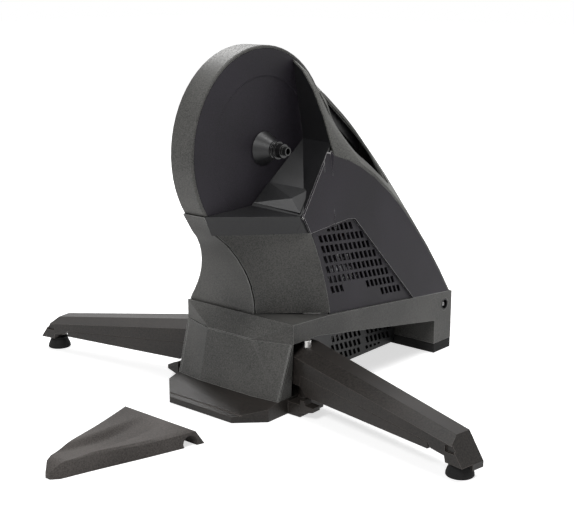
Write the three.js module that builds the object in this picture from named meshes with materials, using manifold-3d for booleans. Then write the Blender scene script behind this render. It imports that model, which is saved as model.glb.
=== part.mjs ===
// Direct drive bike trainer. Millimetres, +Z up.
// The origin is on the floor, straight under the axle. The nose points along -Y and the
// tail along +Y. +X is the near side, which the rider's left foot is on; the cassette
// and the chain run on the -X side, called the far side.
import * as THREE from 'three';
import { mergeVertices } from 'three/addons/utils/BufferGeometryUtils.js';
import { ConvexGeometry } from 'three/addons/geometries/ConvexGeometry.js';
import Module from 'manifold-3d';

const wasm = await Module();
wasm.setup();

// Common sizes
const GAP = 0.3; // between neighbouring pieces
const PLATE = 3; // moulded cover wall
const OVERRUN = 30; // how far a cut runs past what it cuts
const REACH = 700; // longer than the whole body, for cutting blocks
const SPIN_GAP = 1; // between turning and fixed pieces

// Axle, hub and pulley case
const AXLE_Z = 347.9;
const CASE_R = 135.4;
const CASE_FAR = -13.9;
const CASE_NEAR = 24.3;
const CASE_RIM = 4;
const CASE_LIP = 1.5;
const CASE_OVERLAP = 8; // how far the case runs on behind the recess cover
const SEAM_Z = 273.6; // seam between the case and the neck
const DISH_R = 96;
const DISH_DEPTH = 0.8;

// Body envelope
const FRONT_Y = -26.3;
const TAIL_Y = 351.7;
const BODY_END_Y = 349; // rear wall of the covers
const FRONT_HALF = 97.9;
const TAIL_HALF = 107.2;
const BAND_FRONT_Z = 123.4;
const BAND_KNEE_Y = 50.4;
const BAND_KNEE_Z = 120.5;
const BAND_TAIL_Z = 91.9;
const BAND_UNDER_Z = 97;
const BAND_BEND_Y = 25;
const BAY_END_Y = 306.2;
const BAY_END_Z = 52.6;
const TAIL_UNDER_Z = 15;
const BAND_WALL = 3.5;
const PANEL_LEAN_SHARE = 0.063;

// Spine: the crest starts a step above the round case
const CREST_START_SHARE = 0.7681;
const CREST_STEP = 8.4;
const CREST_Y = CASE_R * CREST_START_SHARE;
const CREST_Z = AXLE_Z + Math.sqrt(CASE_R ** 2 - CREST_Y ** 2) + CREST_STEP;
const CREST_FALL_SHARE = 0.62;
const CREST_BEND = 1020;
const FLANK_DROP = 104;
const FLANK_Y = 175;
const FLANK_BEND = 729;
const CREST_ROUND = 5;
const CREST_ROUND_FRONT = 25;
const CREST_ROUND_FADE = 70;
const CREST_SWELL = 40; // the crest broadens over the case
const CREST_SWELL_Y = 60;
const CREST_SWELL_FADE = 20;
const SPINE_START_SHARE = 0.4941;
const SPINE_START_Y = CASE_R * SPINE_START_SHARE;
const SPINE_LAP_SHARE = 0.65; // where the cover comes out of the case's round
const SPINE_LAP_Y = CASE_R * SPINE_LAP_SHARE;
const FAR_WALL_SHARE = 0.6795;
const FAR_WALL_Y = CASE_R * FAR_WALL_SHARE;
const FINGER_X = 85;
const FINGER_Y = 110;
const FINGER_START = 4; // behind the start of the crest
const FINGER_MIDDLE_Y = CREST_Y + FINGER_START + FINGER_Y / 2;
const GRIP_START = 8; // behind the start of the crest
const GRIP_START_Y = CREST_Y + GRIP_START;
const GRIP_END_Y = FINGER_MIDDLE_Y + FINGER_Y / 2;
const GRIP_HALF = 20;
const GRIP_DEPTH = 15;

// Near recess beside the axle end
const SHELF_FRONT_Y = -115.4;
const SHELF_FRONT_Z = 273.4;
const SHELF_BACK_Y = -25.8;
const SHELF_BACK_Z = 275.1;
const RECESS_CORNER_X = 89.8;
const RECESS_CORNER_Y = 4.4;
const RECESS_CORNER_Z = 263.7;
const WING_FOOT_X = 85.5;
const WING_FOOT_Y = 69.5;
const WING_FOOT_Z = 353.3;
const WING_DISC_Y = 82.3;
const WING_TOP_SHARES = [0.4357, 0.8781]; // of the case's radius, from the axle
const WING_TOP_Y = CASE_R * WING_TOP_SHARES[0];
const WING_TOP_Z = AXLE_Z + CASE_R * WING_TOP_SHARES[1];
const STRIP_FRONT_Y = -103.3;
const STRIP_FRONT_Z = 247.1;
const STRIP_END_X = 93.2;
const STRIP_END_Y = 17.5;
const STRIP_END_Z = 239;

// Neck
const NECK_KNEE_Y = -101;
const NECK_KNEE_Z = 249;
const NECK_FRONT_Y = -116.6;
const NECK_FOOT_Y = -22;
const NECK_SAG = 20;
const NECK_EASE = 4.4; // the scoop is flatter towards its top
const FLANK_FOOT_X = -98;
const SHOULDER_SAG = 10;
const SHOULDER_BULGE = 5;

// Vents
const SLOT_W = 6.1;
const SLOT_H = 10.6;
const SLOT_LEAN = 4.4;
const SLOT_PITCH = 9.9;
const SLOT_ROW_PITCH = 14.4;
const GRILLE_RECESS = 0.3;
const GRILLE_T = 2.5;
const GRILLE_FLANGE = 6;
const VENT_HALF = 31.9;
const VENT_T = 2.5;

// Foot parts
const BASE_TOP = 21.5;
const NOSE_LEAN = 24;
const NOSE_TOP_Y = -28;
const NOSE_BOW_TOP = 18.5; // the middle facet stands this far forward of the corners
const NOSE_BOW_FOOT = 5.5;
const NOSE_CREASE_TOP = 40;
const NOSE_CREASE_FOOT = 46;
const FOOT_T = 14.7;
const LATCH_Y = -25;

// Flywheel and drive
const WHEEL_Y = 175;
const WHEEL_Z = 130;
const WHEEL_R = 110;
const WHEEL_FAR = -26.5;
const WHEEL_NEAR = -5.5;
const PULLEY_CLEARANCE = 16.4; // room for the belt and the case's lower edge
const PULLEY_R = CASE_R - CASE_RIM - PULLEY_CLEARANCE;
const PINION_R = 17;
const BELT_FAR = -3;
const BELT_NEAR = 12;
const BELT_T = 2.5;
const BELT_GAP = 0.6; // the belt's loop is faceted, so it stands a little off the pulleys
const FRAME_FAR = 15.5;
const FRAME_T = 4;

// Legs, measured from the hinge pin: u along the leg, v across it
const HINGE_X = 97.8;
const HINGE_Y = 1.9;
const LEG_SPREAD_ANGLE = -10; // degrees, forward of square
const LEG_ROOT_HALF = 24.6;
const LEG_TIP_HALF = 19;
const LEG_ROOT_ANGLES = [100, 260];
const LEG_TOP_Z = 88.1;
const LEG_FALL_SHARE = 0.141;
const LEG_SHOULDER = 10;
const LEG_TOP_END = 271;
const LEG_END = 294.5;
const LEG_WALL = 3;
const FOOT_U = 275.4;
const FOOT_R = 17.4;
const FOOT_H = 17;

// Looks, one for each finish
const SLATE = { color: 0x34323a, roughness: 0.6, metalness: 0 };
const GREY = { color: 0x4a4a48, roughness: 0.75, metalness: 0 };
const LIGHT_GREY = { color: 0x64645f, roughness: 0.75, metalness: 0 };
const BLACK = { color: 0x1c1b1d, roughness: 0.6, metalness: 0 };
const BROWN_BLACK = { color: 0x322f2d, roughness: 0.5, metalness: 0.2 };
const BLOCK_GREY = { color: 0x5a5654, roughness: 0.8, metalness: 0 };
const RUBBER = { color: 0x1b1b1b, roughness: 0.9, metalness: 0 };
const GLOSS_BLACK = { color: 0x141414, roughness: 0.2, metalness: 0.1 };
const STEEL = { color: 0x9a9a9a, roughness: 0.35, metalness: 0.9 };
const CAST = { color: 0x3c3c3e, roughness: 0.6, metalness: 0.6 };
const COPPER = { color: 0xa0602c, roughness: 0.4, metalness: 0.7 };
const BOARD_GREEN = { color: 0x1f4a33, roughness: 0.5, metalness: 0 };

const trainer = new THREE.Group();

// Solids from three.js geometries
function solidOf(geometry) {
  for (const name of Object.keys(geometry.attributes)) {
    if (name !== 'position') geometry.deleteAttribute(name);
  }
  const merged = mergeVertices(geometry);
  const points = merged.getAttribute('position');
  const corners = merged.index.array;
  const faces = [];
  let volume = 0;
  const [p, q, r] = [new THREE.Vector3(), new THREE.Vector3(), new THREE.Vector3()];
  for (let i = 0; i < corners.length; i += 3) {
    const [a, b, c] = [corners[i], corners[i + 1], corners[i + 2]];
    if (a === b || b === c || c === a) continue;
    faces.push([a, b, c]);
    p.fromBufferAttribute(points, a);
    q.fromBufferAttribute(points, b);
    r.fromBufferAttribute(points, c);
    volume += p.dot(q.cross(r));
  }
  const outward = volume < 0 ? faces.map(([a, b, c]) => [a, c, b]) : faces;
  return new wasm.Manifold(new wasm.Mesh({
    numProp: 3,
    vertProperties: Float32Array.from(points.array),
    triVerts: Uint32Array.from(outward.flat()),
  }));
}

const ALONG_X = new THREE.Matrix4().set(0, 0, 1, 0, 1, 0, 0, 0, 0, 1, 0, 0, 0, 0, 0, 1);
const ALONG_Y = new THREE.Matrix4().set(1, 0, 0, 0, 0, 0, -1, 0, 0, 1, 0, 0, 0, 0, 0, 1);

// An outline swept along an axis: (y, z) along x, (x, z) along y, (x, y) along z
function prism(axis, outline, from, to, holes = []) {
  const path = (points) => points.map(([a, b]) => new THREE.Vector2(a, b));
  const shape = new THREE.Shape(path(outline));
  for (const hole of holes) shape.holes.push(new THREE.Path(path(hole)));
  const geometry = new THREE.ExtrudeGeometry(shape, { depth: to - from, bevelEnabled: false });
  geometry.translate(0, 0, axis === 'y' ? -to : from);
  if (axis === 'x') geometry.applyMatrix4(ALONG_X);
  if (axis === 'y') geometry.applyMatrix4(ALONG_Y);
  return solidOf(geometry);
}

function block(low, high) {
  const outline = [[low[0], low[1]], [high[0], low[1]], [high[0], high[1]], [low[0], high[1]]];
  return prism('z', outline, low[2], high[2]);
}

function convex(points) {
  return solidOf(new ConvexGeometry(points.map((point) => new THREE.Vector3(...point))));
}

// A profile of (x, radius) points turned about an axis parallel to X
function turned(profile, sides, y, z) {
  const closed = profile[0][1] > 0 ? [...profile, profile[0]] : profile;
  const points = closed.map(([x, radius]) => new THREE.Vector2(radius, x));
  const geometry = new THREE.LatheGeometry(points, sides);
  geometry.rotateZ(-Math.PI / 2);
  geometry.translate(0, y, z);
  return solidOf(geometry);
}

function ringOf(from, to, inner, outer, sides, y, z) {
  return turned([[from, inner], [to, inner], [to, outer], [from, outer]], sides, y, z);
}

function rod(from, to, radius, sides = 24, endRadius = radius) {
  const start = new THREE.Vector3(...from);
  const end = new THREE.Vector3(...to);
  const along = end.clone().sub(start);
  const geometry = new THREE.CylinderGeometry(endRadius, radius, along.length(), sides);
  const up = new THREE.Vector3(0, 1, 0);
  geometry.applyQuaternion(new THREE.Quaternion().setFromUnitVectors(up, along.normalize()));
  const middle = start.add(end).multiplyScalar(0.5);
  geometry.translate(middle.x, middle.y, middle.z);
  return solidOf(geometry);
}

// Two matching grids of points, closed round their edges
function closedGrid(top, bottom) {
  const [rows, columns] = [top.length, top[0].length];
  const points = [...top.flat(), ...bottom.flat()].flat();
  const at = (layer, i, j) => (layer * rows + i) * columns + j;
  const faces = [];
  const quad = (a, b, c, d) => faces.push(a, b, c, a, c, d);
  for (let i = 0; i < rows - 1; i += 1) {
    for (let j = 0; j < columns - 1; j += 1) {
      quad(at(0, i, j), at(0, i + 1, j), at(0, i + 1, j + 1), at(0, i, j + 1));
      quad(at(1, i, j), at(1, i, j + 1), at(1, i + 1, j + 1), at(1, i + 1, j));
    }
    quad(at(0, i, 0), at(1, i, 0), at(1, i + 1, 0), at(0, i + 1, 0));
    quad(at(0, i, columns - 1), at(0, i + 1, columns - 1), at(1, i + 1, columns - 1), at(1, i, columns - 1));
  }
  for (let j = 0; j < columns - 1; j += 1) {
    quad(at(0, 0, j), at(0, 0, j + 1), at(1, 0, j + 1), at(1, 0, j));
    quad(at(0, rows - 1, j), at(1, rows - 1, j), at(1, rows - 1, j + 1), at(0, rows - 1, j + 1));
  }
  const geometry = new THREE.BufferGeometry();
  geometry.setAttribute('position', new THREE.Float32BufferAttribute(points, 3));
  geometry.setIndex(faces);
  return solidOf(geometry);
}

function gridOf(surface, us, vs) {
  return us.map((u) => vs.map((v) => surface(u, v)));
}

function steps(from, to, count) {
  return Array.from({ length: count + 1 }, (_, i) => from + ((to - from) * i) / count);
}

// Joining and cutting
function planeThrough(a, b, c, outside) {
  const [p, q, r, out] = [a, b, c, outside].map((point) => new THREE.Vector3(...point));
  const normal = q.sub(p).cross(r.sub(p)).normalize();
  if (normal.dot(out.sub(p)) < 0) normal.negate();
  return { normal: normal.toArray(), offset: normal.dot(p) };
}

function behind(solid, plane, inset = 0) {
  return solid.trimByPlane(plane.normal.map((n) => -n), inset - plane.offset);
}

function before(solid, plane, gap = 0) {
  return solid.trimByPlane(plane.normal, plane.offset + gap);
}

function joined(solids) {
  return solids.reduce((whole, solid) => whole.add(solid));
}

function mirrored(solid, axis = 0) {
  const { vertProperties, triVerts } = solid.getMesh();
  const swapped = [0, 1, -1];
  return new wasm.Manifold(new wasm.Mesh({
    numProp: 3,
    vertProperties: Float32Array.from(vertProperties, (value, i) => (i % 3 === axis ? -value : value)),
    triVerts: Uint32Array.from(triVerts, (_, i) => triVerts[i + swapped[i % 3]]),
  }));
}

function piece(name, solid, look, group = trainer) {
  const { vertProperties, triVerts } = solid.getMesh();
  const geometry = new THREE.BufferGeometry();
  geometry.setAttribute('position', new THREE.Float32BufferAttribute(vertProperties, 3));
  geometry.setIndex(new THREE.Uint32BufferAttribute(triVerts, 1));
  geometry.computeVertexNormals();
  const mesh = new THREE.Mesh(geometry, new THREE.MeshStandardMaterial(look));
  mesh.name = name;
  group.add(mesh);
}

// Round stretches of outlines, in degrees from the first axis
function arc(centre, radius, from, to, count) {
  return steps(from, to, count).map((degrees) => {
    const angle = THREE.MathUtils.degToRad(degrees);
    return [centre[0] + radius * Math.cos(angle), centre[1] + radius * Math.sin(angle)];
  });
}

function circle(centre, radius, sides) {
  return arc(centre, radius, 0, 360 - 360 / sides, sides - 1);
}

// Body envelope: the leaning side panels and the crown of the spine
function bandHalf(y) {
  return FRONT_HALF + ((TAIL_HALF - FRONT_HALF) * (y - FRONT_Y)) / (TAIL_Y - FRONT_Y);
}

function bandLine(y) {
  return BAND_KNEE_Z + ((BAND_TAIL_Z - BAND_KNEE_Z) * (y - BAND_KNEE_Y)) / (TAIL_Y - BAND_KNEE_Y);
}

function panelX(y, z) {
  return bandHalf(y) - PANEL_LEAN_SHARE * (z - bandLine(y));
}

const FAR_OUT = [REACH, 0, 0];
const PANEL = planeThrough(
  [panelX(0, 0), 0, 0],
  [panelX(TAIL_Y, 0), TAIL_Y, 0],
  [panelX(0, AXLE_Z), 0, AXLE_Z],
  FAR_OUT,
);
const PANEL_FAR_SIDE = { normal: [-PANEL.normal[0], PANEL.normal[1], PANEL.normal[2]], offset: PANEL.offset };

function betweenPanels(solid, inset) {
  return behind(behind(solid, PANEL, inset), PANEL_FAR_SIDE, inset);
}

// A point of the crown; share is 0 on the crest, 1 on the near panel and -1 on the far one
function crownPoint(share, y) {
  const past = y - CREST_Y;
  const crest = CREST_Z - CREST_FALL_SHARE * past - (past * past) / CREST_BEND;
  const drop = FLANK_DROP + (y - FLANK_Y) ** 2 / FLANK_BEND;
  const edge = panelX(y, crest - drop);
  const swell = CREST_SWELL * Math.exp(-(((y - CREST_SWELL_Y) / CREST_SWELL_FADE) ** 2));
  const front = CREST_ROUND_FRONT * Math.exp((SPINE_START_Y - y) / CREST_ROUND_FADE);
  const roundness = CREST_ROUND + front + swell;
  const amount = Math.abs(share);
  const x = 2 * roundness * amount + (edge - 2 * roundness) * amount * amount;
  return [Math.sign(share) * x, y, crest - drop * amount * amount];
}

const CROWN_SHARES = [-1.2, -1, -0.8, -0.6, -0.4, -0.2, 0, 0.2, 0.4, 0.6, 0.8, 1, 1.2];
const CROWN_STEPS = 11;
const NUDGE = 0.5; // a short way along the crown, to find its slope
const NUDGE_SHARE = 0.01;

// Everything under the crown, drawn in by inset. Every use has the same rows, so that
// neighbours which follow the crown keep an even gap.
function underCrown(inset) {
  const surface = (y, share) => {
    const here = new THREE.Vector3(...crownPoint(share, y));
    const ahead = new THREE.Vector3(...crownPoint(share, y + NUDGE)).sub(here);
    const side = new THREE.Vector3(...crownPoint(share + NUDGE_SHARE, y));
    const other = new THREE.Vector3(...crownPoint(share - NUDGE_SHARE, y));
    const normal = side.sub(other).cross(ahead).normalize();
    return here.sub(normal.multiplyScalar(inset)).setY(y).toArray();
  };
  const rows = steps(SPINE_START_Y - OVERRUN, TAIL_Y + OVERRUN, CROWN_STEPS);
  const top = gridOf(surface, rows, CROWN_SHARES);
  const bottom = top.map((row) => row.map(([x, y]) => [x, y, TAIL_UNDER_Z]));
  return closedGrid(top, bottom);
}

const CROWN_CLEAR_Y = SPINE_START_Y - OVERRUN / 2; // in front of this the near panel stays below the crown

// Side outline of the space above the base band, raised by gap
function aboveBand(gap, from, to) {
  const outline = [
    [from, BAND_FRONT_Z + gap], [FRONT_Y, BAND_FRONT_Z + gap], [BAND_KNEE_Y, BAND_KNEE_Z + gap],
    [TAIL_Y, BAND_TAIL_Z + gap], [to, BAND_TAIL_Z + gap], [to, REACH], [from, REACH],
  ];
  return prism('x', outline, -REACH, REACH);
}

// Plan outline of the body, drawn in by inset
function bodyPlan(inset, from, to) {
  return [
    [-bandHalf(from) + inset, from], [bandHalf(from) - inset, from],
    [bandHalf(to) - inset, to], [-bandHalf(to) + inset, to],
  ];
}

const SLOPE_START_Z = SHELF_BACK_Z;
const slopeShare = (WING_FOOT_Z - SHELF_BACK_Z) / (WING_DISC_Y - SHELF_BACK_Y);

// Side outline of the space above the case's lower edge, raised by gap
function aboveCaseEdge(gap) {
  const end = CASE_R + OVERRUN;
  const drop = CASE_OVERLAP - gap;
  const start = SHELF_BACK_Y + (SEAM_Z + drop - SLOPE_START_Z) / slopeShare;
  const endZ = SLOPE_START_Z + slopeShare * (end - SHELF_BACK_Y) - drop;
  return [[-end, SEAM_Z + gap], [start, SEAM_Z + gap], [end, endZ], [end, REACH], [-end, REACH]];
}

// Pulley case: a round cup with an open near side, cut off along the seam
function pulleyCase() {
  const inner = CASE_R - CASE_RIM;
  const hub = FREEHUB_NECK_R + SPIN_GAP;
  const cup = turned([
    [CASE_FAR, hub], [CASE_FAR + PLATE, hub], [CASE_FAR + PLATE, inner], [CASE_NEAR, inner],
    [CASE_NEAR, CASE_R - CASE_LIP], [CASE_NEAR - CASE_LIP, CASE_R],
    [CASE_FAR + CASE_LIP, CASE_R], [CASE_FAR, CASE_R - CASE_LIP],
  ], 64, 0, AXLE_Z);
  return cup.intersect(prism('x', aboveCaseEdge(0), -REACH, REACH));
}

// Pulley cover: the flat near disc with a shallow dish round the hub
function pulleyCover() {
  const outer = CASE_R - CASE_RIM - GAP;
  const back = CASE_NEAR - PLATE;
  const hub = JOURNAL_R + SPIN_GAP;
  const disc = turned([
    [back, hub], [back, outer], [CASE_NEAR, outer], [CASE_NEAR, DISH_R],
    [CASE_NEAR - DISH_DEPTH, DISH_R - DISH_DEPTH], [CASE_NEAR - DISH_DEPTH, hub],
  ], 64, 0, AXLE_Z);
  return disc.intersect(prism('x', aboveCaseEdge(0), -REACH, REACH));
}

// Hub
const CONE_END = 43.3;
const CONE_R = 23.5;
const CAP_R = 12;
const CAP_GROOVE_R = 10;
const CAP_GROOVE = 2;
const CAP_STEP = 51;
const DROPOUT_NEAR = 60;
const DROPOUT_SPACING = 135;
const DROPOUT_FAR = DROPOUT_NEAR - DROPOUT_SPACING;
const DROPOUT_R = 9.5;
const STUB_R = 6;
const STUB_L = 6.6;
const AXLE_R = 8;
const AXLE_BORE_R = 4;
const JOURNAL_R = 14;
const BEARING_R = 21;
const FREEHUB_R = 17.25;
const FREEHUB_NECK_R = 15;
const FREEHUB_FLANGE_R = 26;
const FREEHUB_FLANGE = 12;
const FREEHUB_END = -66;
const HUB_SIDES = 24;
const SPLINE_DEPTH = 1.6;
const SPLINE_COUNT = 9;

function hubCone() {
  const start = CASE_NEAR + GAP;
  const bore = AXLE_R + GAP;
  return turned([[start, bore], [CONE_END, bore], [CONE_END, CAP_R], [start, CONE_R]], HUB_SIDES, 0, AXLE_Z);
}

function endCapNear() {
  const start = CONE_END + GAP;
  const groove = (start + CAP_STEP) / 2;
  return turned([
    [start, AXLE_BORE_R], [DROPOUT_NEAR + STUB_L, AXLE_BORE_R], [DROPOUT_NEAR + STUB_L, STUB_R],
    [DROPOUT_NEAR, STUB_R], [DROPOUT_NEAR, DROPOUT_R], [CAP_STEP, DROPOUT_R], [CAP_STEP, CAP_R],
    [groove + CAP_GROOVE, CAP_R], [groove + CAP_GROOVE / 2, CAP_GROOVE_R],
    [groove - CAP_GROOVE / 2, CAP_GROOVE_R], [groove - CAP_GROOVE, CAP_R], [start, CAP_R],
  ], HUB_SIDES, 0, AXLE_Z);
}

function endCapFar() {
  const start = FREEHUB_END - GAP;
  const end = DROPOUT_FAR - STUB_L;
  return turned([
    [start, AXLE_BORE_R], [start, CAP_R], [(start + DROPOUT_FAR) / 2, CAP_R], [DROPOUT_FAR, DROPOUT_R],
    [DROPOUT_FAR, STUB_R], [end, STUB_R], [end, AXLE_BORE_R],
  ], HUB_SIDES, 0, AXLE_Z);
}

function hubAxle() {
  return ringOf(FREEHUB_END, CONE_END, AXLE_BORE_R, AXLE_R, HUB_SIDES, 0, AXLE_Z);
}

function freehubBody() {
  const bore = AXLE_R + GAP;
  const flange = CASE_FAR - SPIN_GAP;
  const body = turned([
    [FREEHUB_END + GAP, bore], [CASE_FAR + PLATE, bore], [CASE_FAR + PLATE, FREEHUB_NECK_R],
    [flange, FREEHUB_NECK_R], [flange, FREEHUB_FLANGE_R], [flange - FREEHUB_FLANGE, FREEHUB_FLANGE_R],
    [flange - FREEHUB_FLANGE, FREEHUB_R], [FREEHUB_END + GAP, FREEHUB_R],
  ], HUB_SIDES, 0, AXLE_Z);
  const grooves = steps(0, 360 - 360 / SPLINE_COUNT, SPLINE_COUNT - 1).map((degrees) => {
    const [y, z] = arc([0, AXLE_Z], FREEHUB_R, degrees, degrees, 1)[0];
    return rod([FREEHUB_END - OVERRUN, y, z], [flange - FREEHUB_FLANGE, y, z], SPLINE_DEPTH, 6);
  });
  return body.subtract(joined(grooves));
}

function drivePulley() {
  const rim = BELT_T * 2;
  const web = FRAME_T / 2;
  const middle = (BELT_FAR + BELT_NEAR) / 2;
  const end = FRAME_FAR + FRAME_T + SPIN_GAP / 2;
  return turned([
    [CASE_FAR + PLATE + SPIN_GAP, AXLE_R + GAP], [end, AXLE_R + GAP], [end, JOURNAL_R],
    [FRAME_FAR - SPIN_GAP, JOURNAL_R], [FRAME_FAR - SPIN_GAP, BEARING_R], [middle + web, BEARING_R],
    [middle + web, PULLEY_R - rim], [BELT_NEAR + GAP, PULLEY_R - rim], [BELT_NEAR + GAP, PULLEY_R],
    [BELT_FAR - GAP, PULLEY_R], [BELT_FAR - GAP, PULLEY_R - rim], [middle - web, PULLEY_R - rim],
    [middle - web, BEARING_R], [BRACKET_NEAR + SPIN_GAP, BEARING_R], [BRACKET_NEAR + SPIN_GAP, JOURNAL_R],
    [CASE_FAR + PLATE + SPIN_GAP, JOURNAL_R],
  ], 36, 0, AXLE_Z);
}

const BRACKET_NEAR = -5.3;
const BRACKET_T = 4;

function hubBearing(from, to) {
  return ringOf(from, to, JOURNAL_R + GAP, BEARING_R, HUB_SIDES, 0, AXLE_Z);
}

// Base band: a sloping tray that runs down into the tail
const CENTRE_OPENING_START = -13;
const CENTRE_OPENING_END = 303;
const LEDGE_SEAT = 6;
const SOCKET_Y = 332.6;
const SOCKET_Z = 73.5;
const SOCKET_R = 9.5;

function bandOutline(inset) {
  return [
    [FRONT_Y + inset, BAND_UNDER_Z + inset], [BAND_BEND_Y, BAND_UNDER_Z + inset],
    [BAY_END_Y + inset, BAY_END_Z + inset], [BAY_END_Y + inset, TAIL_UNDER_Z + inset],
    [TAIL_Y - inset, TAIL_UNDER_Z + inset],
  ];
}

// The band's front bows forward at its foot, to meet the nose
function bandProw(inset) {
  const side = FRONT_HALF - inset;
  const back = FRONT_Y + 2 * BAND_WALL;
  const [low, high] = [BAND_UNDER_Z + inset, BAND_FRONT_Z - inset];
  const corners = [-side, side].flatMap((x) => [
    [x, FRONT_Y + inset, high], [x, FRONT_Y + inset, low], [x, back, low], [x, back, high],
  ]);
  const bow = FRONT_Y - NOSE_BOW_TOP + inset;
  return convex([...corners, [-NOSE_CREASE_TOP, bow, low], [NOSE_CREASE_TOP, bow, low]]);
}

function baseBand() {
  const outer = [
    ...bandOutline(0), [TAIL_Y, BAND_TAIL_Z], [BAND_KNEE_Y, BAND_KNEE_Z], [FRONT_Y, BAND_FRONT_Z],
  ];
  const inner = [...bandOutline(BAND_WALL), [TAIL_Y - BAND_WALL, REACH], [FRONT_Y + BAND_WALL, REACH]];
  const body = prism('x', outer, -REACH, REACH)
    .intersect(prism('z', bodyPlan(0, FRONT_Y, TAIL_Y), 0, REACH))
    .add(bandProw(0).intersect(
      prism('x', outer, -REACH, REACH).add(block([-REACH, -REACH, 0], [REACH, FRONT_Y, REACH])),
    ));
  const hollow = prism('x', inner, -REACH, REACH)
    .intersect(prism('z', bodyPlan(BAND_WALL, FRONT_Y - OVERRUN, TAIL_Y + OVERRUN), 0, REACH + OVERRUN));
  const shoulderLine = [
    [bandHalf(BAND_KNEE_Y), BAND_KNEE_Y + LEDGE_SEAT], [CASE_NEAR, NECK_FOOT_Y + LEDGE_SEAT + PLATE],
    [-FRONT_HALF, NECK_FOOT_Y + LEDGE_SEAT + PLATE],
  ];
  const ledgePlan = [[-FRONT_HALF, FRONT_Y], [FRONT_HALF, FRONT_Y], ...shoulderLine];
  const ledgeSide = [
    [FRONT_Y, BAND_FRONT_Z - BAND_WALL],
    [BAND_KNEE_Y + LEDGE_SEAT, bandLine(BAND_KNEE_Y + LEDGE_SEAT) - BAND_WALL],
    [BAND_KNEE_Y + LEDGE_SEAT, bandLine(BAND_KNEE_Y + LEDGE_SEAT)], [BAND_KNEE_Y, BAND_KNEE_Z],
    [FRONT_Y, BAND_FRONT_Z],
  ];
  const ledge = prism('z', ledgePlan, BAND_UNDER_Z, REACH)
    .intersect(prism('x', ledgeSide, -REACH, REACH))
    .intersect(prism('z', bodyPlan(0, FRONT_Y, TAIL_Y), 0, REACH));
  const half = VENT_HALF + GAP;
  const openingTop = BAND_UNDER_Z + BAND_WALL + GAP;
  const opening = block([-half, CENTRE_OPENING_START, 0], [half, CENTRE_OPENING_END, openingTop]);
  const socketHole = rod([0, SOCKET_Y, SOCKET_Z], [REACH, SOCKET_Y, SOCKET_Z], SOCKET_R + GAP);
  return body.subtract(hollow).subtract(bandProw(BAND_WALL)).add(ledge)
    .subtract(opening).subtract(socketHole);
}

function rearFoot() {
  return prism('z', bodyPlan(0, BAY_END_Y, TAIL_Y), 0, FOOT_T);
}

function powerSocket() {
  const face = bandHalf(SOCKET_Y);
  const back = face - SOCKET_DEPTH;
  return turned([
    [back, 0], [back, SOCKET_R], [face + GAP, SOCKET_R], [face + GAP, SOCKET_BORE_R],
    [back + PLATE, SOCKET_BORE_R], [back + PLATE, SOCKET_PIN_R], [face - PLATE, SOCKET_PIN_R],
    [face - PLATE, 0],
  ], 24, SOCKET_Y, SOCKET_Z);
}

const SOCKET_DEPTH = 11;
const SOCKET_BORE_R = 7.4;
const SOCKET_PIN_R = 2.4;

// Neck: the front scoop, the far flank and the near shoulder
const EASE_PEAK = 256 / 27; // makes the largest value of the easing 1

function neckFrontY(z) {
  if (z >= NECK_KNEE_Z) {
    return NECK_KNEE_Y + ((NECK_FRONT_Y - NECK_KNEE_Y) * (z - NECK_KNEE_Z)) / (SEAM_Z - NECK_KNEE_Z);
  }
  const [dy, dz] = [NECK_KNEE_Y - NECK_FOOT_Y, NECK_KNEE_Z - BAND_FRONT_Z];
  const chord = Math.hypot(dy, dz);
  const radius = NECK_SAG / 2 + chord ** 2 / (8 * NECK_SAG);
  const away = (radius - NECK_SAG) / chord;
  const centreY = (NECK_KNEE_Y + NECK_FOOT_Y) / 2 - dz * away;
  const centreZ = (NECK_KNEE_Z + BAND_FRONT_Z) / 2 + dy * away;
  const up = (z - BAND_FRONT_Z) / dz;
  const ease = NECK_EASE * EASE_PEAK * up ** 3 * (1 - up);
  return centreY + Math.sqrt(radius ** 2 - (z - centreZ) ** 2) - ease;
}

function flankX(z) {
  const down = Math.max(0, NECK_KNEE_Z - z) / (NECK_KNEE_Z - BAND_FRONT_Z);
  return CASE_FAR + (FLANK_FOOT_X - CASE_FAR) * down;
}

const NECK_STEPS = 9;

function neckProfile(inset) {
  const heights = [SEAM_Z - GAP, ...steps(NECK_KNEE_Z, BAND_FRONT_Z + GAP, NECK_STEPS)];
  return heights.map((z) => [neckFrontY(z) + inset, z]);
}

function neckCover() {
  const front = neckProfile(0);
  const back = neckProfile(PLATE).reverse();
  const across = [
    [CASE_NEAR, SEAM_Z], [CASE_FAR, SEAM_Z], [CASE_FAR, NECK_KNEE_Z],
    [FLANK_FOOT_X, BAND_FRONT_Z], [CASE_NEAR, BAND_FRONT_Z],
  ];
  const sheet = prism('x', [...front, ...back], -REACH, REACH);
  return betweenPanels(sheet.intersect(prism('y', across, -REACH, REACH)), 0);
}

// Flank cover: slopes out from the case to the far side of the band, behind the scoop
const FLANK_WALL_SHARE = 1.2;
const FLANK_SPREAD_SHARE = 1.03;
const FLANK_GAP_SHARE = 1.3;

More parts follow.
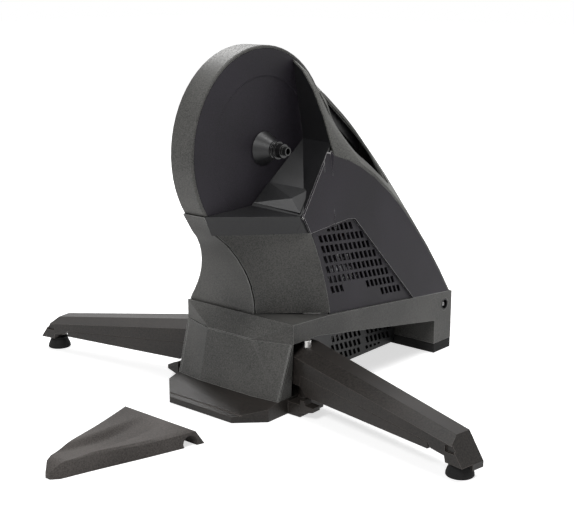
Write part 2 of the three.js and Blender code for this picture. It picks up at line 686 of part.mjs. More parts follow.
function flankCover() {
  const wall = PLATE * FLANK_WALL_SHARE;
  const low = BAND_KNEE_Z - BAND_WALL;
  const across = [
    [CASE_FAR, AXLE_Z], [CASE_FAR, NECK_KNEE_Z], [flankX(low) * FLANK_SPREAD_SHARE, low],
    [flankX(low) * FLANK_SPREAD_SHARE + wall, low], [CASE_FAR + PLATE, NECK_KNEE_Z - wall / 2],
    [CASE_FAR + PLATE, AXLE_Z],
  ];
  const top = aboveCaseEdge(-GAP).slice(0, 3);
  const side = [...neckProfile(PLATE + GAP).reverse(), ...top.slice(1)];
  const room = side.map(([y, z]) => [Math.min(y, FAR_WALL_Y + PLATE), z]);
  const endTop = SLOPE_START_Z + slopeShare * (FAR_WALL_Y + PLATE - SHELF_BACK_Y) - CASE_OVERLAP - GAP;
  room[room.length - 1] = [FAR_WALL_Y + PLATE, endTop];
  room.push([FAR_WALL_Y + PLATE, low]);
  const sheet = prism('y', across, -REACH, FAR_WALL_Y + PLATE).intersect(prism('x', room, -REACH, REACH));
  const front = betweenPanels(sheet, 0).trimByPlane([0, -1, 0], GAP - FAR_WALL_Y);
  return front.add(betweenPanels(sheet, PLATE + GAP)).intersect(aboveBand(GAP, -REACH, REACH));
}

// Far recess wall: stands across, from the flank cover to the far panel, under the crown
function recessCoverFar() {
  const low = BAND_KNEE_Z - BAND_WALL;
  const across = [
    [CASE_FAR - GAP, REACH], [CASE_FAR - GAP, NECK_KNEE_Z],
    [flankX(low) * FLANK_SPREAD_SHARE - GAP * FLANK_GAP_SHARE, low],
    [-REACH, low], [-REACH, REACH],
  ];
  return betweenPanels(prism('y', across, FAR_WALL_Y, FAR_WALL_Y + PLATE), PLATE + GAP)
    .intersect(underCrown(PLATE + GAP))
    .intersect(aboveBand(GAP, -REACH, REACH));
}

// Near recess: planes through the corners of the faceted pocket beside the axle end
const SHELF_FRONT = [CASE_NEAR, SHELF_FRONT_Y, SHELF_FRONT_Z];
const SHELF_BACK = [CASE_NEAR, SHELF_BACK_Y, SHELF_BACK_Z];
const RECESS_CORNER = [RECESS_CORNER_X, RECESS_CORNER_Y, RECESS_CORNER_Z];
const WING_FOOT = [WING_FOOT_X, WING_FOOT_Y, WING_FOOT_Z];
const WING_DISC = [CASE_NEAR, WING_DISC_Y, WING_FOOT_Z];
const WING_TOP = [CASE_NEAR, WING_TOP_Y, WING_TOP_Z];
const STRIP_FRONT = [CASE_NEAR, STRIP_FRONT_Y, STRIP_FRONT_Z];
const STRIP_END = [STRIP_END_X, STRIP_END_Y, STRIP_END_Z];
const AIR = [RECESS_CORNER_X, -REACH, REACH];
const WING = planeThrough(WING_TOP, WING_DISC, WING_FOOT, AIR);
const RISE = planeThrough(WING_DISC, SHELF_BACK, RECESS_CORNER, AIR);
const CHEEK = planeThrough(WING_DISC, RECESS_CORNER, WING_FOOT, AIR);
const SHELF = planeThrough(SHELF_FRONT, SHELF_BACK, RECESS_CORNER, [0, 0, REACH]);
const STRIP = planeThrough(SHELF_FRONT, RECESS_CORNER, STRIP_FRONT, AIR);
const STRIP_FOOT = planeThrough(STRIP_FRONT, STRIP_END, [STRIP_END_X, 0, STRIP_END_Z], [0, 0, -REACH]);
const SHELF_EDGE = planeThrough(SHELF_BACK, RECESS_CORNER, [CASE_NEAR, SHELF_BACK_Y, 0], [0, -REACH, 0]);

function recessBulk(inset) {
  const low = [CASE_NEAR - OVERRUN, -REACH, NECK_KNEE_Z - OVERRUN];
  const all = block(low, [REACH, FAR_WALL_Y + OVERRUN, AXLE_Z + CASE_R]);
  const floor = joined([behind(all, SHELF, inset), behind(all, RISE, inset), behind(all, CHEEK, inset)]);
  return behind(floor, STRIP, inset).add(behind(all, WING, inset));
}

const WEDGE_LEFT_Y = 9.5;
const WEDGE_LEFT_Z = 302;
const WEDGE_MID_X = 61;
const WEDGE_MID_Y = 25.5;
const WEDGE_MID_Z = 295;
const WEDGE_RIGHT_X = 75.3;
const WEDGE_RIGHT_Y = 33.1;
const WEDGE_RIGHT_Z = 294;
const WEDGE_FOOT_X = 84.3;
const WEDGE_FOOT_Y = 3.1;
const WEDGE_FOOT_Z = 268.2;
const WEDGE_HEEL_Y = -21.5;
const WEDGE_HEEL_Z = 278.3;
const WEDGE_PEAK_X = 69.4;
const WEDGE_PEAK_Y = 3.4;
const WEDGE_PEAK_Z = 285.9;

function wedge() {
  const left = [CASE_NEAR + GAP, WEDGE_LEFT_Y, WEDGE_LEFT_Z];
  const middle = [WEDGE_MID_X, WEDGE_MID_Y, WEDGE_MID_Z];
  const right = [WEDGE_RIGHT_X, WEDGE_RIGHT_Y, WEDGE_RIGHT_Z];
  const foot = [WEDGE_FOOT_X, WEDGE_FOOT_Y, WEDGE_FOOT_Z];
  const heel = [CASE_NEAR + GAP, WEDGE_HEEL_Y, WEDGE_HEEL_Z];
  const peak = [WEDGE_PEAK_X, WEDGE_PEAK_Y, WEDGE_PEAK_Z];
  const sunk = [left, middle, right, foot, heel].map(([x, y, z]) => [x, y + PLATE / 4, z - PLATE / 2]);
  return convex([left, middle, right, foot, heel, peak, ...sunk]);
}

function recessShell() {
  const shell = recessBulk(0).subtract(recessBulk(PLATE));
  const fitted = behind(behind(shell, PANEL, PLATE + 2 * GAP), STRIP_FOOT)
    .trimByPlane([1, 0, 0], CASE_NEAR + GAP);
  const lowPart = block([0, -REACH, 0], [REACH, CROWN_CLEAR_Y, WING_FOOT_Z]);
  return fitted.intersect(underCrown(PLATE + GAP).add(lowPart));
}

function recessCoverNear() {
  const walls = behind(recessShell(), SHELF_EDGE);
  const added = behind(wedge(), SHELF_EDGE).trimByPlane([1, 0, 0], CASE_NEAR + GAP);
  return walls.add(added);
}

function shelfCoverNear() {
  return before(recessShell(), SHELF_EDGE, GAP);
}

// Shoulder panel: from beside the scoop round to the front edge of the near grille
const SHOULDER_SHARES = [0, 0.17, 0.34, 0.5, 0.67, 0.84, 1];

function shoulderEdgeY(z) {
  const up = (z - BAND_FRONT_Z) / (STRIP_END_Z - BAND_FRONT_Z);
  const straight = BAND_KNEE_Y + (STRIP_END_Y - BAND_KNEE_Y) * up;
  return straight + SHOULDER_BULGE * 4 * up * (1 - up);
}

function shoulderPoint(share, up) {
  const left = [CASE_NEAR + 2 * GAP, 0];
  const topZ = STRIP_FRONT_Z + (STRIP_END_Z - STRIP_FRONT_Z) * share - GAP;
  const z = BAND_FRONT_Z + GAP + (topZ - BAND_FRONT_Z - GAP) * up;
  left[1] = neckFrontY(z) + PLATE + 2 * GAP;
  const edgeY = shoulderEdgeY(Math.min(z, STRIP_END_Z));
  const right = [panelX(edgeY, z) - GAP, edgeY];
  const along = new THREE.Vector2(right[0] - left[0], right[1] - left[1]);
  const length = along.length();
  const sag = SHOULDER_SAG * up * 4 * share * (1 - share);
  const inward = [-along.y / length, along.x / length];
  return [
    left[0] + along.x * share + inward[0] * sag,
    left[1] + along.y * share + inward[1] * sag,
    z,
  ];
}

function shoulderPanel() {
  const [first, last] = [shoulderPoint(0, 0), shoulderPoint(1, 0)];
  const chord = new THREE.Vector2(last[0] - first[0], last[1] - first[1]).normalize();
  const shift = [-chord.y * PLATE, chord.x * PLATE];
  const ups = [...SHOULDER_SHARES];
  const top = gridOf((up, share) => shoulderPoint(share, up), ups, SHOULDER_SHARES);
  const bottom = top.map((row) => row.map(([x, y, z]) => [x + shift[0], y + shift[1], z]));
  const sheet = closedGrid(top, bottom).trimByPlane([1, 0, 0], CASE_NEAR + GAP);
  return sheet.intersect(aboveBand(GAP, -REACH, REACH));
}

// Side panels and grilles, drawn on (y, z) and leaned onto the panel plane
function leaned(solid, side) {
  const { vertProperties, triVerts } = solid.getMesh();
  const points = Float32Array.from(vertProperties);
  for (let i = 0; i < points.length; i += 3) {
    points[i] += panelX(points[i + 1], points[i + 2]);
  }
  const placed = new wasm.Manifold(new wasm.Mesh({ numProp: 3, vertProperties: points, triVerts }));
  return side < 0 ? mirrored(placed) : placed;
}

const GRILLE_TOP_Y = 105;
const GRILLE_TOP_Z = 246;
const GRILLE_REAR_Y = 247.8;
const GRILLE_CORNER = 8;
const GRILLE_EDGE = 1.6; // clear of the shoulder panel, and more so at the top
const GRILLE_EDGE_TOP = 2.6;
const EDGE_STEPS = 6;

// The grille's outline, grown by reach behind the panel, and clear of the shoulder panel
function grilleOutline(reach) {
  const front = steps(STRIP_END_Z, BAND_KNEE_Z, EDGE_STEPS).map((z) => {
    const up = (z - BAND_FRONT_Z) / (STRIP_END_Z - BAND_FRONT_Z);
    return [shoulderEdgeY(z) + GRILLE_EDGE + GRILLE_EDGE_TOP * up, z];
  });
  return [
    ...front,
    [GRILLE_REAR_Y + reach, bandLine(GRILLE_REAR_Y + reach)],
    [GRILLE_TOP_Y + GRILLE_CORNER + reach, GRILLE_TOP_Z - GRILLE_CORNER / 4 + reach],
    [GRILLE_TOP_Y - GRILLE_CORNER, GRILLE_TOP_Z + reach],
  ];
}

function sidePanel(side) {
  const rear = [BODY_END_Y, bandLine(BODY_END_Y)];
  const top = [[BODY_END_Y, REACH]];
  const outlineNear = [
    [GRILLE_REAR_Y, bandLine(GRILLE_REAR_Y)], rear, ...top,
    [WING_FOOT_Y, REACH], [WING_FOOT_Y, WING_FOOT_Z],
    [RECESS_CORNER_Y, RECESS_CORNER_Z], [STRIP_END_Y, STRIP_END_Z],
    [GRILLE_TOP_Y - GRILLE_CORNER, GRILLE_TOP_Z],
    [GRILLE_TOP_Y + GRILLE_CORNER, GRILLE_TOP_Z - GRILLE_CORNER / 4],
  ];
  const low = [FAR_WALL_Y, bandLine(FAR_WALL_Y)];
  const outlineFar = [low, rear, ...top, [FAR_WALL_Y, REACH]];
  const holes = side > 0 ? [] : [farGrilleOutline(0)];
  const plate = leaned(prism('x', side > 0 ? outlineNear : outlineFar, -PLATE, 0, holes), side);
  const room = underCrown(PLATE + GAP).add(block([-REACH, -REACH, 0], [REACH, CROWN_CLEAR_Y, REACH]));
  return plate.intersect(room).intersect(aboveBand(GAP, -REACH, REACH));
}

const FAR_GRILLE_START = 118;
const FAR_GRILLE_RIM = 14;

function farGrilleOutline(reach) {
  const start = FAR_GRILLE_START - reach;
  const low = FAR_GRILLE_RIM - reach;
  const startTop = GRILLE_TOP_Z - FAR_GRILLE_RIM + reach;
  return [
    [start, bandLine(start) + low], [GRILLE_REAR_Y - FAR_GRILLE_RIM + reach, bandLine(GRILLE_REAR_Y) + low],
    [GRILLE_TOP_Y + 3 * FAR_GRILLE_RIM + reach, startTop], [start, startTop],
  ];
}

function insideOutline(point, outline) {
  let inside = false;
  outline.forEach(([y, z], i) => {
    const [py, pz] = outline[(i + outline.length - 1) % outline.length];
    if ((z > point[1]) !== (pz > point[1]) && point[0] < ((py - y) * (point[1] - z)) / (pz - z) + y) {
      inside = !inside;
    }
  });
  return inside;
}

// Slanting slots in rows along the band line. Each row's counts are the first and the last
// slot of every stretch; a slot is cut short by the top and low lines, and left out where
// little of it is left or where it comes closer than the margin to the outline.
const SHORTEST_SLOT_SHARE = 0.2;

function slots(outline, start, rows, shift, pitch, margin, top, low) {
  const slope = (BAND_TAIL_Z - BAND_KNEE_Z) / (TAIL_Y - BAND_KNEE_Y);
  const found = [];
  const add = (y, z) => {
    const at = (edge, height) => [edge + (SLOT_LEAN * (z - height)) / SLOT_H, height];
    const [left, right] = [y, y + SLOT_W];
    const high = [left, right].map((edge) => Math.min(z, top(edge)));
    const foot = [left, right].map((edge) => Math.max(z - SLOT_H, low(edge)));
    const corners = [at(left, high[0]), at(right, high[1]), at(right, foot[1]), at(left, foot[0])];
    const long = high[0] - foot[0] > SLOT_H * SHORTEST_SLOT_SHARE;
    const clear = corners.every(([a, b], i) => {
      const [da, db] = [i === 0 || i === 3 ? -margin : margin, i < 2 ? margin : -margin];
      return insideOutline([a + da, b + db], outline);
    });
    if (long && clear) found.push(corners);
  };
  rows.forEach((counts, row) => {
    for (let run = 0; run < counts.length; run += 2) {
      for (let count = counts[run]; count <= counts[run + 1]; count += 1) {
        const y = start[0] + shift * row + pitch * count;
        add(y, start[1] - SLOT_ROW_PITCH * row + slope * (y - start[0]));
      }
    }
  });
  return found;
}

const SLOT_MARGIN = 0.6;
const SLOT_TOP_MARGIN = 3.5;
const SLOT_START_Y = 31.6;
const SLOT_START_Z = 246.9;
const SLOT_SHIFT = 4.1; // from one row's start to the next
const GRILLE_ROWS = [[1, 7], [0, 9], [0, 10], [0, 11], [0, 12], [0, 13], [0, 2, 8, 14], [11, 15]];

function grilleNear() {
  const face = -PLATE - GRILLE_RECESS;
  const outline = grilleOutline(0);
  const [frontY, frontZ] = outline[0];
  const [cornerY, cornerZ] = outline[outline.length - 1];
  const top = (y) => frontZ + ((cornerZ - frontZ) * (y - frontY)) / (cornerY - frontY) - SLOT_TOP_MARGIN;
  const start = [SLOT_START_Y, SLOT_START_Z];
  const holes = slots(outline, start, GRILLE_ROWS, SLOT_SHIFT, SLOT_PITCH, SLOT_MARGIN, top, bandLine);
  const plate = leaned(prism('x', grilleOutline(GRILLE_FLANGE), face - GRILLE_T, face, holes), 1);
  return plate.intersect(aboveBand(GAP, -REACH, REACH));
}

const FAR_SLOT_MARGIN = 2;
const FAR_SLOTS = 24; // more than fit in the longest row

function grilleFar() {
  const face = -PLATE - GRILLE_RECESS;
  const outline = farGrilleOutline(0);
  const start = [FAR_GRILLE_START, SLOT_START_Z];
  const rows = GRILLE_ROWS.map(() => [0, FAR_SLOTS]);
  const top = () => GRILLE_TOP_Z - FAR_GRILLE_RIM - FAR_SLOT_MARGIN;
  const shift = SLOT_SHIFT - SLOT_PITCH;
  const holes = slots(outline, start, rows, shift, SLOT_PITCH, FAR_SLOT_MARGIN, top, bandLine);
  return leaned(prism('x', farGrilleOutline(GRILLE_FLANGE), face - GRILLE_T, face, holes), -1)
    .intersect(aboveBand(GAP, -REACH, REACH));
}

// Lower vents: upright plates beside the flywheel, under the band
const VENT_START_Y = 50.8;
const VENT_LOW_Z = 4;
const VENT_MARGIN = 3;
const VENT_PITCH = 10.9;
const VENT_SLOT_Y = 139.5;
const VENT_SLOT_Z = 67.4;
const VENT_ROWS = [[0, 6, 8, 13], [0, 6, 8, 13], [0, 6, 8, 13], [1, 6, 8, 12]];

function lowerVent(side) {
  const ceiling = (y) => BAND_UNDER_Z + ((BAY_END_Z - BAND_UNDER_Z) * (y - BAND_BEND_Y)) / (BAY_END_Y - BAND_BEND_Y);
  const end = BAY_END_Y - GAP;
  const outline = [
    [VENT_START_Y, VENT_LOW_Z], [end, VENT_LOW_Z],
    [end, ceiling(end) - GAP], [VENT_START_Y, ceiling(VENT_START_Y) - GAP],
  ];
  const top = (y) => ceiling(y) - 2 * VENT_MARGIN;
  const low = () => VENT_LOW_Z + 2 * VENT_MARGIN;
  const holes = slots(outline, [VENT_SLOT_Y, VENT_SLOT_Z], VENT_ROWS, 0, VENT_PITCH, VENT_MARGIN, top, low);
  const plate = prism('x', outline, VENT_HALF - VENT_T, VENT_HALF, holes);
  return side < 0 ? mirrored(plate) : plate;
}

// Spine cover: a thin shell under the crown, cut round the case, with a rear wall and two
// finger openings beside the crest
const FINGER_STEPS = 44;
const FINGER_SHARES = [
  [0.32, -0.42], [0.45, -0.485], [0.6, -0.53], [0.72, -0.495], [0.83, -0.42], [0.92, -0.29], [0.957, 0],
  [0.94, 0.38], [0.85, 0.53], [0.66, 0.57], [0.46, 0.5], [0.34, 0.28], [0.315, 0],
];

function fingerOpenings() {
  const turns = FINGER_SHARES.map(([a, b]) => new THREE.Vector3(FINGER_X * a, FINGER_MIDDLE_Y + FINGER_Y * b, 0));
  const curve = new THREE.CatmullRomCurve3(turns, true, 'centripetal');
  const outline = curve.getPoints(FINGER_STEPS).slice(1).map((point) => [point.x, point.y]);
  const cut = prism('z', outline, BAND_UNDER_Z, REACH);
  return cut.add(mirrored(cut));
}

function caseRoom() {
  const inner = CASE_R + 2 * GAP;
  return rod([CASE_FAR - 2 * GAP, 0, AXLE_Z], [CASE_NEAR + 2 * GAP, 0, AXLE_Z], inner, 96);
}

function spineCover() {
  const inside = underCrown(PLATE);
  const end = [0, -1, 0];
  const shell = betweenPanels(underCrown(0).subtract(inside), 0).trimByPlane(end, -BODY_END_Y);
  const rear = betweenPanels(underCrown(PLATE / 2), PLATE + GAP)
    .trimByPlane(end, -BODY_END_Y).trimByPlane([0, 1, 0], BODY_END_Y - PLATE);
  const cover = shell.add(rear).intersect(aboveBand(GAP, 0, REACH)).subtract(fingerOpenings());
  const nearPart = behind(cover.trimByPlane([1, 0, 0], CASE_NEAR), WING).trimByPlane([0, 1, 0], WING_TOP_Y);
  const farPart = cover.trimByPlane([-1, 0, 0], -CASE_FAR).trimByPlane([0, 1, 0], FAR_WALL_Y);
  const middle = cover.trimByPlane([-1, 0, 0], -CASE_NEAR - GAP).trimByPlane([1, 0, 0], CASE_FAR - GAP)
    .trimByPlane([0, 1, 0], SPINE_LAP_Y);
  return joined([nearPart, farPart, middle]).subtract(caseRoom());
}

// Grip: the lining under the crest bar between the finger openings
function handleGrip() {
  const bar = block([-GRIP_HALF, GRIP_START_Y, BAND_UNDER_Z], [GRIP_HALF, GRIP_END_Y, REACH]);
  const lining = underCrown(PLATE + GAP).subtract(underCrown(PLATE + GAP + GRIP_DEPTH));
  return bar.intersect(lining).subtract(caseRoom());
}

// Base plate, nose and shroud
const BASE_FRONT_Y = -105.5;
const BASE_FRONT_HALF = 58;
const BASE_SIDE_Y = -72;
const BASE_HALF = 93;
const BASE_REAR_Y = 50;
const BASE_LIP_Z = 8.5;
const NOSE_FOOT_Y = NOSE_TOP_Y - NOSE_LEAN;
const ARM_HALF = 114;
const ARM_FRONT_Y = -32;
const ARM_REAR_Y = 18;
const ARM_TOP = 18;
const TRAY_FLOOR = 8;
const TRAY_WALL = 5;
const TOWER_R = 12;
const TOWER_TOP = 39;
const PIN_R = 6;
const PIN_SEAT_Z = 24;
const LIP_GROOVE = 1.2;
const LIP_GROOVE_Y = -98;

function bothSides(points) {
  return [...points, ...points.map(([x, y]) => [-x, y]).reverse()];
}

function basePlate() {
  const plan = bothSides([
    [BASE_FRONT_HALF, BASE_FRONT_Y], [BASE_HALF, BASE_SIDE_Y], [BASE_HALF, ARM_FRONT_Y],
    [ARM_HALF, ARM_FRONT_Y], [ARM_HALF, ARM_REAR_Y], [BASE_HALF, BASE_REAR_Y],
  ]);
  const side = [
    [BASE_FRONT_Y, 0], [BASE_FRONT_Y, BASE_LIP_Z], [NOSE_FOOT_Y - NOSE_BOW_FOOT, BASE_TOP],
    [BASE_REAR_Y, BASE_TOP], [BASE_REAR_Y, 0],
  ];
  const plate = prism('z', plan, 0, BASE_TOP).intersect(prism('x', side, -REACH, REACH));
  const low = [BASE_HALF, ARM_FRONT_Y - OVERRUN, ARM_TOP];
  const armCut = block(low, [REACH, BASE_REAR_Y + OVERRUN, REACH]);
  const trayHalf = BASE_HALF - TRAY_WALL;
  const tray = block([-trayHalf, NOSE_FOOT_Y + TRAY_WALL, TRAY_FLOOR], [trayHalf, BASE_REAR_Y - TRAY_WALL, REACH]);
  const groove = block([-REACH, LIP_GROOVE_Y, 0], [REACH, LIP_GROOVE_Y + LIP_GROOVE, REACH])
    .intersect(prism('x', side, -REACH, REACH))
    .subtract(prism('x', side.map(([y, z]) => [y, z - (z > 0 ? LIP_GROOVE : 0)]), -REACH, REACH));
  const tower = rod([HINGE_X, HINGE_Y, 0], [HINGE_X, HINGE_Y, TOWER_TOP], TOWER_R);
  const seat = rod([HINGE_X, HINGE_Y, PIN_SEAT_Z], [HINGE_X, HINGE_Y, REACH], PIN_R + GAP);
  const solid = plate.subtract(armCut).subtract(mirrored(armCut)).subtract(tray).subtract(groove);
  const near = solid.add(tower).subtract(seat);
  return near.add(mirrored(tower)).subtract(mirrored(seat));
}

function floorRail() {
  const half = VENT_HALF - VENT_T - GAP;
  return block([-half, BASE_REAR_Y + GAP, RAIL_LOW], [half, BAY_END_Y - GAP, RAIL_LOW + RAIL_T]);
}

const RAIL_LOW = 3;
const RAIL_T = 6;
const NOSE_TOP_HALF = 97;
const NOSE_FOOT_HALF = 93;
const NOSE_EDGE = 3;
const NOSE_GROOVE = 1;

// Nose panel: a middle facet between two that turn back to the corners, with a fine groove
// beside each corner
function nosePanel() {
  const topZ = BAND_UNDER_Z - GAP;
  const lowZ = BASE_TOP + GAP;
  const row = (half, crease, y, bow, inset, z) => [
    [-half, y + inset, z], [-crease, y - bow + inset, z], [crease, y - bow + inset, z], [half, y + inset, z],
  ];
  const skin = (inset) => [
    row(NOSE_TOP_HALF, NOSE_CREASE_TOP, NOSE_TOP_Y, NOSE_BOW_TOP, inset, topZ),
    row(NOSE_FOOT_HALF, NOSE_CREASE_FOOT, NOSE_FOOT_Y, NOSE_BOW_FOOT, inset, lowZ),
  ];
  const plate = closedGrid(skin(0), skin(PLATE));
  const grooves = [1, -1].map((side) => {
    const face = (half, y, z) => [[side * (half - NOSE_EDGE), y, z], [side * (half - NOSE_EDGE) + NOSE_GROOVE, y, z]];
    const depth = (half, crease, bow) => NOSE_GROOVE - (bow * NOSE_EDGE) / (half - crease);
    const highY = NOSE_TOP_Y + depth(NOSE_TOP_HALF, NOSE_CREASE_TOP, NOSE_BOW_TOP);
    const footY = NOSE_FOOT_Y + depth(NOSE_FOOT_HALF, NOSE_CREASE_FOOT, NOSE_BOW_FOOT);
    const front = [
      face(NOSE_TOP_HALF, highY - PLATE, topZ + GAP), face(NOSE_FOOT_HALF, footY - PLATE, lowZ - GAP),
    ];
    return closedGrid(front, [face(NOSE_TOP_HALF, highY, topZ + GAP), face(NOSE_FOOT_HALF, footY, lowZ - GAP)]);
  });
  return plate.subtract(joined(grooves));
}

// Nose shroud: side walls behind the panel, joined under the band
function noseShroud() {
  const topZ = BAND_UNDER_Z - GAP;
  const lowZ = BASE_TOP + GAP;
  const rear = HINGE_Y - LEG_ROOT_HALF - 2 * SPIN_GAP;
  const side = [
    [NOSE_TOP_Y + PLATE + GAP, topZ], [NOSE_FOOT_Y + PLATE + GAP, lowZ], [rear, lowZ], [rear, topZ],
  ];
  const outer = prism('y', [
    [-NOSE_FOOT_HALF, lowZ], [NOSE_FOOT_HALF, lowZ], [NOSE_TOP_HALF, topZ], [-NOSE_TOP_HALF, topZ],
  ], NOSE_FOOT_Y - OVERRUN, rear);
  const inner = prism('y', [
    [-NOSE_FOOT_HALF + PLATE, 0], [NOSE_FOOT_HALF - PLATE, 0], [NOSE_TOP_HALF - PLATE, topZ - PLATE],
    [-NOSE_TOP_HALF + PLATE, topZ - PLATE],
  ], NOSE_FOOT_Y - 2 * OVERRUN, rear + OVERRUN);
  return outer.intersect(prism('x', side, -REACH, REACH)).subtract(inner);
}

// Frame plate: carries the hub, the flywheel shaft, the brake and the tail
const FRAME_HEAD_ANGLES = [15, 165];
const BRACKET_ANGLES = [-10, 190];
const FRAME_HEAD_R = 34;
const FRAME_BOSS_R = 40;

function framePlate() {
  const foot = TRAY_FLOOR + GAP;
  const tailLow = TAIL_UNDER_Z + BAND_WALL + GAP;
  const outline = [
    [-FRAME_HEAD_R * 0.8, foot], [BASE_REAR_Y - TRAY_WALL - GAP, foot],
    [BASE_REAR_Y - TRAY_WALL - GAP, BAND_UNDER_Z],
    [WHEEL_Y - FRAME_BOSS_R, WHEEL_Z - FRAME_BOSS_R * 0.8], [WHEEL_Y + FRAME_BOSS_R, WHEEL_Z - FRAME_BOSS_R * 0.9],
    [BAY_END_Y + BAND_WALL + GAP, BAY_END_Z + BAND_WALL + GAP], [BAY_END_Y + BAND_WALL + GAP, tailLow],
    [TAIL_Y - 4 * BAND_WALL, tailLow], [TAIL_Y - 4 * BAND_WALL, BAND_TAIL_Z],
    [WHEEL_Y + 3 * FRAME_BOSS_R, WHEEL_Z + FRAME_BOSS_R * 0.4],
    [WHEEL_Y + 2 * FRAME_BOSS_R, WHEEL_Z + 2 * FRAME_BOSS_R],
    [WHEEL_Y + FRAME_BOSS_R, WHEEL_Z + 2 * FRAME_BOSS_R], [WHEEL_Y - FRAME_BOSS_R * 0.5, WHEEL_Z + FRAME_BOSS_R],
    [FRAME_HEAD_R * 1.6, SEAM_Z - FRAME_HEAD_R], [FRAME_HEAD_R * 1.2, AXLE_Z],
    ...arc([0, AXLE_Z], FRAME_HEAD_R * 1.2, ...FRAME_HEAD_ANGLES, 8),
    [-FRAME_HEAD_R * 1.5, SEAM_Z - FRAME_HEAD_R * 0.5], [FRAME_HEAD_R * 0.1, NECK_KNEE_Z - 2 * FRAME_HEAD_R],
    [FRAME_HEAD_R * 0.3, BAND_FRONT_Z],
    [-FRAME_HEAD_R * 0.3, BAND_UNDER_Z],
  ];
  const holes = [
    circle([0, AXLE_Z], BEARING_R + GAP, 36),
    circle([WHEEL_Y, WHEEL_Z], SHAFT_R + 2 * SPIN_GAP, 24),
  ];
  return prism('x', outline, FRAME_FAR, FRAME_FAR + FRAME_T, holes);
}

// Axle bracket: holds the far hub bearing, tied to the frame plate by spacers
function axleBracket() {
  const outline = [
    ...arc([0, AXLE_Z], FRAME_HEAD_R, ...BRACKET_ANGLES, 10),
    [-FRAME_HEAD_R * 1.4, SEAM_Z - FRAME_HEAD_R * 0.4], [FRAME_HEAD_R * 0.6, SEAM_Z - FRAME_HEAD_R * 0.8],
  ];
  const hole = circle([0, AXLE_Z], BEARING_R + GAP, 36);
  return prism('x', outline, BRACKET_NEAR - BRACKET_T, BRACKET_NEAR, [hole]);
}

const SHAFT_R = 7;
const HOUSING_R = 24;
const HOUSING_FLANGE_R = 34;
const HOUSING_FLANGE = 5;
const HOUSING_END = 42;
const SHAFT_BEARING_R = 16;
const SHAFT_BEARING = 7;

function bearingHousing() {
  const start = FRAME_FAR + FRAME_T + GAP;
  const bore = SHAFT_BEARING_R + GAP;
  return turned([
    [start, bore], [HOUSING_END, bore], [HOUSING_END, HOUSING_R], [start + HOUSING_FLANGE, HOUSING_R],
    [start + HOUSING_FLANGE, HOUSING_FLANGE_R], [start, HOUSING_FLANGE_R],
  ], 24, WHEEL_Y, WHEEL_Z);
}

function shaftBearing(from) {
  return ringOf(from, from + SHAFT_BEARING, SHAFT_R + GAP, SHAFT_BEARING_R, 24, WHEEL_Y, WHEEL_Z);
}

function flywheelShaft() {
  return rod([WHEEL_FAR - GAP, WHEEL_Y, WHEEL_Z], [HOUSING_END - GAP, WHEEL_Y, WHEEL_Z], SHAFT_R);
}

const WHEEL_RIM = 30;
const WHEEL_WEB = 5;

function flywheelDisc() {
  const bore = SHAFT_R + GAP;
  const middle = (WHEEL_FAR + WHEEL_NEAR) / 2;
  return turned([
    [WHEEL_FAR, bore], [WHEEL_NEAR, bore], [WHEEL_NEAR, HOUSING_R], [middle + WHEEL_WEB, HOUSING_R + WHEEL_WEB],
    [middle + WHEEL_WEB, WHEEL_R - WHEEL_RIM], [WHEEL_NEAR, WHEEL_R - WHEEL_RIM + WHEEL_WEB],
    [WHEEL_NEAR, WHEEL_R], [WHEEL_FAR, WHEEL_R], [WHEEL_FAR, WHEEL_R - WHEEL_RIM + WHEEL_WEB],
    [middle - WHEEL_WEB, WHEEL_R - WHEEL_RIM], [middle - WHEEL_WEB, HOUSING_R + WHEEL_WEB], [WHEEL_FAR, HOUSING_R],
  ], 40, WHEEL_Y, WHEEL_Z);
}

function beltPinion() {
  return ringOf(BELT_FAR - GAP, BELT_NEAR + GAP, SHAFT_R + GAP, PINION_R, 24, WHEEL_Y, WHEEL_Z);
}

// Belt: an open loop round the two pulleys, along their outer tangents
function beltLoop(offset) {
  const [dy, dz] = [WHEEL_Y, WHEEL_Z - AXLE_Z];
  const apart = Math.hypot(dy, dz);
  const toward = THREE.MathUtils.radToDeg(Math.atan2(dz, dy));
  const tilt = THREE.MathUtils.radToDeg(Math.acos((PULLEY_R - PINION_R) / apart));
  return [
    ...arc([0, AXLE_Z], PULLEY_R + offset, toward + tilt, toward + 360 - tilt, 30),
    ...arc([WHEEL_Y, WHEEL_Z], PINION_R + offset, toward - tilt, toward + tilt, 10),
  ];
}

function driveBelt() {
  return prism('x', beltLoop(BELT_GAP + BELT_T), BELT_FAR, BELT_NEAR, [beltLoop(BELT_GAP).reverse()]);
}

// Idler: a roller that presses on the back of the belt's rear run
const IDLER_R = 13;
const IDLER_BORE_R = 4;
const IDLER_SHARE = 0.55;
const IDLER_ARM_T = 2.5;
const IDLER_ARM_HALF = 7;
const IDLER_ARM_L = 46;

function idlerCentre() {
  const [dy, dz] = [WHEEL_Y, WHEEL_Z - AXLE_Z];
  const apart = Math.hypot(dy, dz);
  const toward = Math.atan2(dz, dy);
  const normal = toward + Math.acos((PULLEY_R - PINION_R) / apart);
  const radius = PULLEY_R + (PINION_R - PULLEY_R) * IDLER_SHARE + BELT_GAP + BELT_T + GAP + IDLER_R;
  return [
    dy * IDLER_SHARE + radius * Math.cos(normal),
    AXLE_Z + dz * IDLER_SHARE + radius * Math.sin(normal),
  ];
}

function idlerRoller() {
  const [y, z] = idlerCentre();
  return ringOf(BELT_FAR, BELT_NEAR, IDLER_BORE_R + GAP, IDLER_R, 24, y, z);
}

